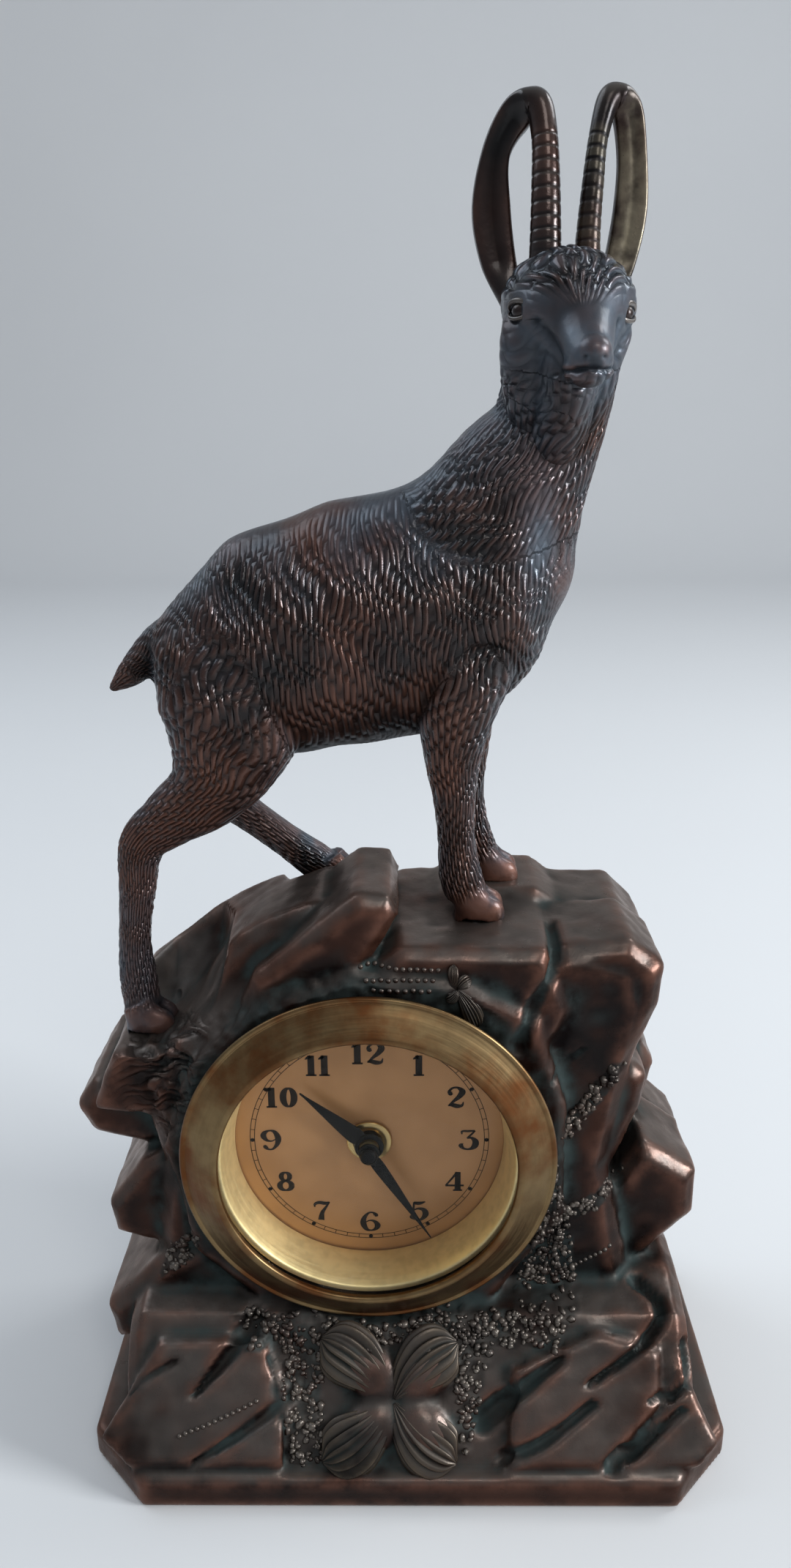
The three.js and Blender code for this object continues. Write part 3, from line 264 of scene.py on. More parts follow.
def softened(profile: Sequence[Sequence[float]], radius: float, closed: bool, steps: int = 4) -> Array:
    """Round the corners of a profile: each corner becomes a short parabola between its two edges.

    Args:
        profile: Points of radius and height.
        radius: How far from the corner the rounding starts, at most LONGEST_ROUNDING of an edge.
        closed: Whether the last point joins the first.
        steps: Points on each corner.

    Returns:
        The rounded profile.
    """
    p = np.asarray(profile, float)
    before, after = np.roll(p, 1, 0) - p, np.roll(p, -1, 0) - p

    def reach(edge: Array) -> Array:
        """The point on an edge where the rounding meets it."""
        size = np.linalg.norm(edge, axis=1, keepdims=True)
        return p + edge / np.maximum(size, TINY) * np.minimum(radius, LONGEST_ROUNDING * size)

    t = np.linspace(0, 1, steps)[None, :, None]
    start, end = reach(before)[:, None], reach(after)[:, None]
    corners = (1 - t) ** 2 * start + 2 * t * (1 - t) * p[:, None] + t**2 * end
    if closed:
        return corners.reshape(-1, 2)
    return np.concatenate([p[:1], corners[1:-1].reshape(-1, 2), p[-1:]])


def turned(profile: Array, closed: bool, around: int = 128) -> Surface:
    """A profile turned about Z: (r cos a, r sin a, h) for each point (r, h) and angle a.

    Args:
        profile: Points of radius and height, up the outside and down the inside.
        closed: Whether the profile closes on itself, as a ring's does. An open one has both ends on the axis.
        around: Sides.

    Returns:
        The surface about +Z.
    """
    inner = profile if closed else profile[1:-1]
    angle = ring_angles(around)
    r, h = inner[:, :1], np.repeat(inner[:, 1:], around, axis=1)
    points = np.stack([r * np.cos(angle), r * np.sin(angle), h], axis=-1).reshape(-1, 3)
    quads = grid_quads(len(inner), around, closed_rows=closed)
    if closed:
        return Surface(points, quads)
    ends = np.array([[0, 0, profile[0, 1]], [0, 0, profile[-1, 1]]])
    return Surface(np.concatenate([points, ends]), quads, end_caps(len(inner), around))


def lathe(profile: Sequence[Sequence[float]], rounding: float, closed: bool, around: int) -> Surface:
    """Turn a profile with its corners rounded."""
    return turned(softened(profile, rounding, closed), closed, around)


def egg(centre: Sequence[float], sizes: Sequence[float], around: int = 24, down: int = 14) -> Surface:
    """An ellipsoid: a half circle turned about Z and scaled.

    Args:
        centre: Its middle.
        sizes: Its half sizes along x, y and z.
        around: Sides.
        down: Rows.

    Returns:
        The closed surface.
    """
    angle = np.linspace(-np.pi / 2, np.pi / 2, down + 1)
    ball = turned(np.stack([np.cos(angle), np.sin(angle)], axis=1), closed=False, around=around)
    return Surface(ball.points * np.asarray(sizes) + np.asarray(centre), ball.quads, ball.triangles)


def onto(ground: BVHTree, places: Array) -> Array:
    """The nearest points on a surface."""
    return np.array([ground.find_nearest(Vector(at))[0] for at in places])


def distance_to_path(points: Array, path: Array) -> tuple[Array, Array]:
    """How far points lie from a broken line.

    Args:
        points: The points.
        path: The line's corners.

    Returns:
        The least distance of each point, and how far along the line its foot is, from 0 to 1.
    """
    start, step = path[:-1], np.diff(path, axis=0)
    squared = np.maximum((step**2).sum(1), TINY)
    offset = points[:, None, :] - start
    share = np.clip((offset * step).sum(2) / squared, 0, 1)
    gaps = np.linalg.norm(offset - share[:, :, None] * step, axis=2)
    best = gaps.argmin(1)
    rows = np.arange(len(points))
    return gaps[rows, best], (best + share[rows, best]) / len(start)


def ripples(points: Array, size: float, seed: int, waves: int = 14) -> Array:
    """Soft unevenness: summed plane waves of about one size in seeded directions, mostly between -1 and 1."""
    slowest, fastest, calm = 0.7, 1.4, 0.7
    draw = np.random.default_rng(seed)
    direction = unit(draw.normal(size=(waves, 3))) * (2 * np.pi / size)
    direction = direction * draw.uniform(slowest, fastest, (waves, 1))
    phase = draw.uniform(0, 2 * np.pi, waves)
    return np.sin(points @ direction.T + phase).sum(1) / math.sqrt(waves) * calm


def dashes(strokes: Array) -> Array:
    """The height of chased strokes, as Sheet.dashes draws them.

    Column k of strokes spans k to k + 1 across and starts STAGGER of a stroke further on than its neighbour.
    In each stroke the height is 4 f (1 - f) across times 4 g (1 - g) along, f and g being the shares of its
    width and length.

    Args:
        strokes: Place along the strokes in lengths, and across them in widths.

    Returns:
        Heights from 0 in the partings to 1 on the strokes.
    """
    column = np.floor(strokes[:, 1])
    across = strokes[:, 1] - column
    along = (strokes[:, 0] + STAGGER * column) % 1
    return 16 * across * (1 - across) * along * (1 - along)


def read(items: bpy.types.bpy_prop_collection, key: str, width: int, kind: type = np.int32) -> Array:
    """One property of all of a mesh's items, one row an item."""
    values = np.empty(len(items) * width, kind)
    items.foreach_get(key, values)
    return values.reshape(-1, width)


@dataclass
class Skin:
    """A dense closed surface that can be smoothed, carved and painted."""

    points: Array
    quads: Array
    triangles: Array
    edges: Array
    normals: Array

    @staticmethod
    def over(parts: Surface, voxel: float, name: str) -> "Skin":
        """Join overlapping closed surfaces into one skin of even small faces.

        Args:
            parts: The surfaces.
            voxel: Size of the new faces.
            name: Name of the passing object.

        Returns:
            The skin.
        """
        rough = bpy.data.objects.new(name, parts.mesh(name))
        bpy.context.scene.collection.objects.link(rough)
        remesh = rough.modifiers.new("skin", "REMESH")
        remesh.mode = "VOXEL"
        remesh.voxel_size = voxel * MM
        graph = bpy.context.evaluated_depsgraph_get()
        mesh = bpy.data.meshes.new_from_object(rough.evaluated_get(graph))
        skin = Skin.of(mesh)
        bpy.data.meshes.remove(mesh)
        bpy.data.meshes.remove(rough.data)
        return skin

    @staticmethod
    def of(mesh: bpy.types.Mesh) -> "Skin":
        """Read a mesh of four- and three-cornered faces."""
        points = read(mesh.vertices, "co", 3, np.float32)
        edges = read(mesh.edges, "vertices", 2)
        corners = read(mesh.loops, "vertex_index", 1).ravel()
        totals = read(mesh.polygons, "loop_total", 1).ravel()
        starts = np.concatenate([[0], np.cumsum(totals)[:-1]])
        quads = corners[starts[totals == 4][:, None] + np.arange(4)]
        triangles = corners[starts[totals == 3][:, None] + np.arange(3)]
        skin = Skin(points / MM, quads, triangles, edges, np.zeros((0, 3)))
        skin.point_outward()
        return skin

    def point_outward(self) -> None:
        """Work out each point's normal as the sum of its faces' normals."""
        p = self.points.astype(float)
        total = np.zeros_like(p)
        for faces in (self.quads, self.triangles):
            if len(faces):
                a, b, c = p[faces[:, 0]], p[faces[:, 1]], p[faces[:, 2]]
                d = p[faces[:, -1]]
                normal = np.cross(c - a, d - b) if faces.shape[1] == 4 else np.cross(b - a, c - a)
                for column in range(faces.shape[1]):
                    for axis in range(3):
                        total[:, axis] += np.bincount(faces[:, column], normal[:, axis], len(p))
        self.normals = unit(total)

    def averaged(self, values: Array, rounds: int, strength: float = 0.5) -> Array:
        """Move values on the points towards the mean of their neighbours.

        Args:
            values: One row a point.
            rounds: How many times.
            strength: Share of the way each time.

        Returns:
            The averaged values.
        """
        a, b = self.edges.T
        count = len(values)
        degree = np.maximum(np.bincount(a, minlength=count) + np.bincount(b, minlength=count), 1)
        out = np.array(values, float).reshape(count, -1)
        for _ in range(rounds):
            for column in range(out.shape[1]):
                v = out[:, column]
                mean = (np.bincount(a, v[b], count) + np.bincount(b, v[a], count)) / degree
                out[:, column] = v + strength * (mean - v)
        return out.reshape(np.shape(values))

    def smooth(self, rounds: int) -> None:
        """Smooth without shrinking: each round averages and then pushes back a little more."""
        inward, outward = 0.5, -0.52
        for _ in range(rounds):
            self.points = self.averaged(self.averaged(self.points, 1, inward), 1, outward)
        self.point_outward()

    def push(self, height: Array) -> None:
        """Move each point along its normal."""
        self.points = self.points + self.normals * height[:, None]
        self.point_outward()

    def ground(self) -> BVHTree:
        """A tree for finding places on the surface."""
        return BVHTree.FromPolygons(self.points.tolist(), self.quads.tolist() + self.triangles.tolist())

    def soften(
        self, places: Sequence[Sequence[float]], reach: Sequence[float], rounds: int, share: float = 1.0
    ) -> None:
        """Smooth the surface round some places.

        The share is whole up to half a reach away or more, and falls to nothing at 4/3 of a reach.

        Args:
            places: The middles.
            reach: How far the smoothing goes along x, y and z.
            rounds: How many times each point is averaged.
            share: The most that a point is moved, from 0 to 1.
        """
        mask = np.clip(1.6 - 1.2 * away(self.points, places, reach), 0, share)
        self.points = self.points + mask[:, None] * (self.averaged(self.points, rounds) - self.points)
        self.point_outward()

    def relief(self, rounds: int) -> Array:
        """How far each point stands out of its averaged surroundings, in millimetres."""
        return ((self.points - self.averaged(self.points, rounds)) * self.normals).sum(1)

    def mesh(self, name: str, **paints: Array) -> bpy.types.Mesh:
        """Make the mesh with values painted on its points."""
        return painted_mesh(Surface(self.points, self.quads, self.triangles), name, **paints)


def painted_mesh(surface: Surface, name: str, **paints: Array) -> bpy.types.Mesh:
    """Make a surface's mesh with values on its points.

    Args:
        surface: The surface.
        name: The mesh's name.
        paints: Values by attribute name, one a point, or three for a vector.

    Returns:
        The new mesh.
    """
    mesh = surface.mesh(name)
    for label, values in paints.items():
        single = values.ndim == 1
        layer = mesh.attributes.new(label, "FLOAT" if single else "FLOAT_VECTOR", "POINT")
        layer.data.foreach_set("value" if single else "vector", values.astype(np.float32).ravel())
    return mesh


def clipped(**paints: Array) -> dict[str, Array]:
    """Paints limited to the range from 0 to 1, as one row of values each."""
    return {label: np.clip(values, 0, 1).ravel() for label, values in paints.items()}


# Finishes


class Sheet:
    """A material's node sheet, with a method for each step that the finishes take."""

    def __init__(self, name: str) -> None:
        """Start an empty material that ends in one shader."""
        self.material = bpy.data.materials.new(name)
        self.material.use_nodes = True
        self.tree = self.material.node_tree
        self.tree.nodes.clear()
        self.shader = self.node("BsdfPrincipled")
        self.feed(self.node("OutputMaterial").inputs["Surface"], self.shader.outputs["BSDF"])

    def feed(self, socket: Socket, value: Feed) -> None:
        """Link a socket to another one, or set its own value."""
        if isinstance(value, bpy.types.NodeSocket):
            self.tree.links.new(value, socket)
        elif isinstance(value, tuple):
            socket.default_value = (*value, 1.0) if len(socket.default_value) == 4 else value
        else:
            socket.default_value = value

    def set(self, **sockets: Feed) -> None:
        """Feed the shader's sockets, named with underscores for spaces."""
        for name, value in sockets.items():
            self.feed(self.shader.inputs[name.replace("_", " ")], value)

    def node(self, kind: str, **settings: str | bool) -> bpy.types.ShaderNode:
        """Add a node and set its own properties."""
        node = self.tree.nodes.new("ShaderNode" + kind)
        for name, value in settings.items():
            setattr(node, name, value)
        return node

    def place(self, scale: tuple[float, float, float] = (1, 1, 1)) -> Socket:
        """Object coordinates, scaled."""
        mapping = self.node("Mapping")
        self.feed(mapping.inputs["Scale"], scale)
        self.feed(mapping.inputs["Vector"], self.node("TexCoord").outputs["Object"])
        return mapping.outputs["Vector"]

    def painted(self, name: str, vector: bool = False) -> Socket:
        """A value or vector that the mesh carries on its points."""
        return self.node("Attribute", attribute_name=name).outputs["Vector" if vector else "Fac"]

    def facing_up(self) -> Socket:
        """How far the surface looks up, from -1 to 1."""
        split = self.node("SeparateXYZ")
        self.feed(split.inputs["Vector"], self.node("NewGeometry").outputs["Normal"])
        return split.outputs["Z"]

    def noise(self, vector: Socket, scale: float, detail: float = 4) -> Socket:
        """Soft noise between 0 and 1."""
        node = self.node("TexNoise")
        settings = {"Vector": vector, "Scale": scale, "Detail": detail, "Roughness": 0.55}
        for name, value in settings.items():
            self.feed(node.inputs[name], value)
        return node.outputs["Fac"]

    def dashes(self, strokes: Socket) -> Socket:
        """Chased strokes over painted coordinates, with the heights that dashes() gives."""
        apart = self.node("SeparateXYZ")
        self.feed(apart.inputs[0], strokes)

        def rounded(share: Socket) -> Socket:
            """4 f (1 - f), which is 1 in the middle and 0 at both ends."""
            return self.math("MULTIPLY", self.math("MULTIPLY", share, 4.0), self.math("SUBTRACT", 1.0, share))

        across = self.math("FRACT", apart.outputs["Y"])
        shift = self.math("MULTIPLY", self.math("FLOOR", apart.outputs["Y"]), STAGGER)
        along = self.math("FRACT", self.math("ADD", apart.outputs["X"], shift))
        return self.math("MULTIPLY", rounded(across), rounded(along))

    def math(self, operation: str, a: Feed, b: Feed = 0.0, clamp: bool = False) -> Socket:
        """One arithmetic step."""
        node = self.node("Math", operation=operation, use_clamp=clamp)
        self.feed(node.inputs[0], a)
        self.feed(node.inputs[1], b)
        return node.outputs[0]

    def span(self, value: Socket, low: float, high: float, start: float = 0.0, end: float = 1.0) -> Socket:
        """Carry a value from one range to another with soft ends."""
        node = self.node("MapRange", interpolation_type="SMOOTHSTEP")
        settings = {"Value": value, "From Min": low, "From Max": high, "To Min": start, "To Max": end}
        for name, number in settings.items():
            self.feed(node.inputs[name], number)
        return node.outputs["Result"]

    def blend(self, share: Feed, a: Feed, b: Feed) -> Socket:
        """Mix two colours."""
        node = self.node("Mix", data_type="RGBA")
        self.feed(node.inputs["Factor"], share)
        colours = [s for s in node.inputs if s.type == "RGBA"]
        self.feed(colours[0], a)
        self.feed(colours[1], b)
        return next(s for s in node.outputs if s.type == "RGBA")

    def bump(self, height: Socket, depth: float, strength: float, under: Socket | None = None) -> Socket:
        """Turn a height into a bent normal, over another one if given. The depth is in millimetres."""
        node = self.node("Bump")
        self.feed(node.inputs["Strength"], strength)
        self.feed(node.inputs["Distance"], depth * MM)
        self.feed(node.inputs["Height"], height)
        if under is not None:
            self.feed(node.inputs["Normal"], under)
        return node.outputs["Normal"]


@dataclass(frozen=True)
class BronzePatina:
    """Cast metal with a brown patina: dark in hollows, copper on worn edges, and a pale painted sheen of the
    sky with some dust where it looks up.
    """

    name: str
    dark: Colour = (0.0045, 0.0036, 0.0038)
    brown: Colour = (0.02, 0.0078, 0.0055)
    copper: Colour = (0.17, 0.075, 0.05)
    rust: Colour = (0.034, 0.0125, 0.0075)
    # Colour of the painted sheen: a pale reflection of the sky painted on faces that look up, with some dust
    # on the rock.
    sheen: Colour = (0.125, 0.108, 0.096)
    verdigris: Colour = (0.04, 0.056, 0.055)
    verdigris_share: float = 0.5
    # The most painted sheen that a face looking straight up gets.
    sheen_share: float = 0.8
    roughness: float = 0.34
    glint: Colour = (1.0, 0.82, 0.74)
    gloss: float = 0.18
    coat: float = 0.08
    satin: float = 0.0
    chased: bool = False
    metallic: float = 0.6
    patch_grain: float = 55
    rust_grain: float = 27
    cloud_grain: float = 40
    rub_grain: float = 140
    crust_grain: float = 110
    pit_grain: float = 900
    pit_depth: float = 0.05
    lump_grain: float = 260
    lump_depth: float = 0.25
    hair_depth: float = 0.45
    shine_grain: float = 220
    shine_range: float = 0.08
    dirt_cover: float = 0.6
    dirt_roughness: float = 0.3

    def material(self) -> bpy.types.Material:
        """Build the material.

        Returns:
            A material that reads the wear, the dirt and painted shade, and the painted sheen on the mesh and,
            if it is chased, the depth and the strokes of the hair.
        """
        sheet = Sheet(self.name)
        place = sheet.place()
        wear, dirt = sheet.painted("wear"), sheet.painted("dirt")
        patches = sheet.span(sheet.noise(place, self.patch_grain, 5), 0.34, 0.64)
        colour = sheet.blend(patches, self.dark, self.brown)
        rusty = sheet.span(sheet.noise(place, self.rust_grain, 3), 0.47, 0.62, 0.0, 0.8)
        colour = sheet.blend(rusty, colour, self.rust)
        # Painted sheen: faces that look up, and points painted with sheen, are paled towards the sky's
        # reflection, with some dust on the rock.
        up = sheet.span(sheet.facing_up(), 0.1, 0.8, 0.0, self.sheen_share)
        painted_sheen_amount = sheet.math("MAXIMUM", up, sheet.painted("cool"))
        cloud = sheet.span(sheet.noise(place, self.cloud_grain, 3), 0.25, 0.55)
        colour = sheet.blend(sheet.math("MULTIPLY", painted_sheen_amount, cloud, clamp=True), colour, self.sheen)
        rub = sheet.span(sheet.noise(place, self.rub_grain), 0.3, 0.66)
        colour = sheet.blend(sheet.math("MULTIPLY", wear, rub, clamp=True), colour, self.copper)
        growth = sheet.span(sheet.noise(place, self.crust_grain, 5), 0.35, 0.65, 0.0, self.verdigris_share)
        # The dirt paint darkens the colour and brings verdigris: dark patina and dirt in hollows, and painted
        # shade where the mesh has it.
        colour = sheet.blend(sheet.math("MULTIPLY", dirt, self.dirt_cover), colour, self.dark)
        colour = sheet.blend(sheet.math("MULTIPLY", dirt, growth, clamp=True), colour, self.verdigris)
        normal = sheet.bump(sheet.noise(place, self.pit_grain, 3), self.pit_depth, 0.6)
        normal = sheet.bump(sheet.noise(place, self.lump_grain), self.lump_depth, 0.35, normal)
        low, high = self.roughness - self.shine_range, self.roughness + self.shine_range
        rough = sheet.span(sheet.noise(place, self.shine_grain), 0.3, 0.7, low, high)
        if self.chased:
            depth = sheet.painted("fur")
            hair = sheet.dashes(sheet.painted("strokes", vector=True))
            normal = sheet.bump(sheet.math("MULTIPLY", hair, depth), self.hair_depth, 1.0, normal)
            valley = sheet.math("MULTIPLY", sheet.span(hair, 0.45, 0.1), depth, clamp=True)
            colour = sheet.blend(sheet.math("MULTIPLY", valley, self.dirt_cover), colour, self.dark)
            crest = sheet.math("MULTIPLY", sheet.span(hair, 0.5, 0.95, 0.0, 0.14), depth, clamp=True)
            colour = sheet.blend(crest, colour, self.copper)
            rough = sheet.math("ADD", rough, sheet.span(depth, 0.0, 1.0, self.satin, 0.0))
        rough = sheet.math("ADD", rough, sheet.math("MULTIPLY", dirt, self.dirt_roughness), clamp=True)
        sheet.set(Base_Color=colour, Metallic=self.metallic, Roughness=rough, Normal=normal)
        clean = sheet.span(dirt, 0.0, 0.9, 1.0, 0.15)
        sheet.set(Specular_IOR_Level=sheet.math("MULTIPLY", clean, self.gloss), Specular_Tint=self.glint)
        sheet.set(Coat_Weight=sheet.math("MULTIPLY", clean, self.coat), Coat_Normal=normal)
        sheet.set(Coat_Roughness=self.roughness - 0.1)
        return sheet.material


@dataclass(frozen=True)
class TurnedMetal:
    """Brass, gilt, steel or tin with fine marks from turning or brushing, stains and a dull film."""

    name: str
    colour: Colour
    stain: Colour
    roughness: float = 0.3
    marks: tuple[float, float, float] = (60, 4000, 60)
    stain_from: float = 0.5
    metallic: float = 1.0
    stain_grain: float = 55
    film_grain: float = 400
    film_shade: float = 0.55
    mark_depth: float = 0.03

    def material(self) -> bpy.types.Material:
        """Build the material.

        Returns:
            A metal that reads Object coordinates.
        """
        sheet = Sheet(self.name)
        place = sheet.place()
        stains = sheet.span(sheet.noise(place, self.stain_grain, 5), self.stain_from, self.stain_from + 0.22)
        colour = sheet.blend(stains, self.colour, self.stain)
        film = sheet.span(sheet.noise(place, self.film_grain, 3), 0.35, 0.75, 0.0, 0.35)
        colour = sheet.blend(film, colour, tuple(self.film_shade * c for c in self.colour))
        marks = sheet.noise(sheet.place(self.marks), 1.0, 2)
        rough = sheet.span(marks, 0.25, 0.75, self.roughness - 0.06, self.roughness + 0.1)
        sheet.set(Base_Color=colour, Metallic=self.metallic, Roughness=rough)
        sheet.set(Normal=sheet.bump(marks, self.mark_depth, 0.35))
        return sheet.material


@dataclass(frozen=True)
class Paint:
    """A painted face: one colour with faint cloudiness and dust."""

    name: str
    colour: Colour
    shade: Colour
    roughness: float = 0.45
    metallic: float = 0.0
    cloud_grain: float = 90
    speck_grain: float = 1500
    speck_depth: float = 0.02
    gloss: float = 0.5

    def material(self) -> bpy.types.Material:
        """Build the material.

        Returns:
            A paint that reads Object coordinates.
        """
        sheet = Sheet(self.name)
        place = sheet.place()
        clouds = sheet.span(sheet.noise(place, self.cloud_grain, 5), 0.35, 0.7)
        colour = sheet.blend(clouds, self.colour, self.shade)
        specks = sheet.noise(place, self.speck_grain, 2)
        rough = sheet.span(specks, 0.3, 0.7, self.roughness - 0.05, self.roughness + 0.08)
        sheet.set(Base_Color=colour, Metallic=self.metallic, Roughness=rough)
        sheet.set(Normal=sheet.bump(specks, self.speck_depth, 0.4), Specular_IOR_Level=self.gloss)
        return sheet.material


@dataclass(frozen=True)
class ClearGlass:
    """Thin clear glass: nearly all of it lets light through, and the rest mirrors."""

    name: str = "clear_glass"
    colour: Colour = (0.03, 0.035, 0.035)
    cover: float = 0.04
    smear_grain: float = 60

    def material(self) -> bpy.types.Material:
        """Build the material.

        Returns:
            A see-through glossy material with faint smears.
        """
        sheet = Sheet(self.name)
        smears = sheet.noise(sheet.place(), self.smear_grain)
        sheet.set(Base_Color=self.colour, Roughness=sheet.span(smears, 0.4, 0.8, 0.02, 0.09))
        sheet.set(Alpha=self.cover, Specular_IOR_Level=1.0)
        return sheet.material


class Finish(Enum):
    """The finishes of the clock, by the record's material slot that each belongs to."""

    FUR = (
        "bronze",
        BronzePatina(
            "chased_fur_bronze", brown=(0.027, 0.0125, 0.0095), rust=(0.085, 0.03, 0.016),
            # The sheen here is a painted blue-grey reflection of the sky.
            sheen=(0.07, 0.086, 0.108), verdigris_share=0.1, roughness=0.28, glint=(0.9, 0.96, 1.0),
            gloss=0.33, coat=0.3, satin=0.16, chased=True,
        ),
    )
    ROCK = ("bronze", BronzePatina("rock_bronze", chased=True, verdigris_share=0.9))
    HORN = (
        "bronze",
        BronzePatina(
            "horn_bronze", verdigris_share=0.15, roughness=0.27, glint=(0.95, 0.97, 1.0), gloss=0.35,
            coat=0.4,
        ),
    )
    GRIT = ("bronze", BronzePatina("grit_bronze", copper=(0.16, 0.14, 0.12), verdigris_share=0.6))
    WORN_EAR = (
        "bronze",
        BronzePatina(
            "worn_ear_bronze", copper=(0.34, 0.29, 0.2), roughness=0.3, glint=(0.95, 0.97, 1.0), gloss=0.35,
        ),
    )
    LEAF = ("bronze", BronzePatina("leaf_bronze", copper=(0.1, 0.078, 0.055), brown=(0.016, 0.011, 0.008)))
    BEZEL = (
        "brass",
        TurnedMetal("aged_bezel_brass", (0.2, 0.135, 0.065), (0.12, 0.045, 0.016), 0.36, stain_from=0.4),
    )
    BRASS = ("brass", TurnedMetal("movement_brass", (0.5, 0.36, 0.16), (0.34, 0.23, 0.11), 0.32))
    GILT = (
        "gilt",
        TurnedMetal(
            "lacquered_gilt", (0.85, 0.68, 0.34), (0.7, 0.52, 0.24), 0.46, stain_from=0.6, metallic=0.76,
        ),
    )
    STEEL = ("steel", TurnedMetal("plain_steel", (0.45, 0.46, 0.47), (0.3, 0.28, 0.26), 0.34))
    TIN = ("tin", TurnedMetal("tinned_sheet", (0.5, 0.48, 0.43), (0.3, 0.26, 0.21), 0.42))
    DIAL = ("dial", Paint("gold_dial_paint", (0.42, 0.215, 0.086), (0.36, 0.18, 0.07), 0.4, 0.3))
    BLACK = ("black", Paint("black_hand_paint", (0.005, 0.005, 0.005), (0.01, 0.009, 0.008), 0.3, gloss=0.1))
    INK = ("black", Paint("dial_ink", (0.01, 0.006, 0.004), (0.02, 0.013, 0.009), 0.6, gloss=0.2))
    GLASS = ("glass", ClearGlass())

    def material(self) -> bpy.types.Material:
        """The finish's material, built the first time that it is asked for."""
        _, recipe = self.value
        return bpy.data.materials.get(recipe.name) or recipe.material()


def show(
    mesh: bpy.types.Mesh, finish: Finish, body: str = CLOCK_BODY, stands_for: Sequence[str] = ()
) -> None:
    """Put a finished mesh into the scene as a piece.

    Args:
        mesh: The mesh, in place. Its name becomes the piece's.
        finish: What it is made of.
        body: The moving body that it rides on.
        stands_for: Nodes of the frame that it replaces.
    """
    piece = bpy.data.objects.new(mesh.name, mesh)
    bpy.context.scene.collection.objects.link(piece)
    mesh.materials.append(finish.material())
    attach(piece, body)
    if stands_for:
        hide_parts(*stands_for)
    log.info("%s: %d faces in %s", mesh.name, len(mesh.polygons), finish.value[1].name)


# The figure


@dataclass(frozen=True)
class Limb:
    """One lofted part of the figure, and how its hair lies."""

    sections: tuple[Section, ...]
    side: tuple[float, float, float] = (0, -1, 0)
    around: int = 40
    hair_around: bool = False
    lean: float = 0.0

    def spine(self) -> Spine:
        """The limb's middle line."""
        return Spine.through(self.sections, self.side, 10)


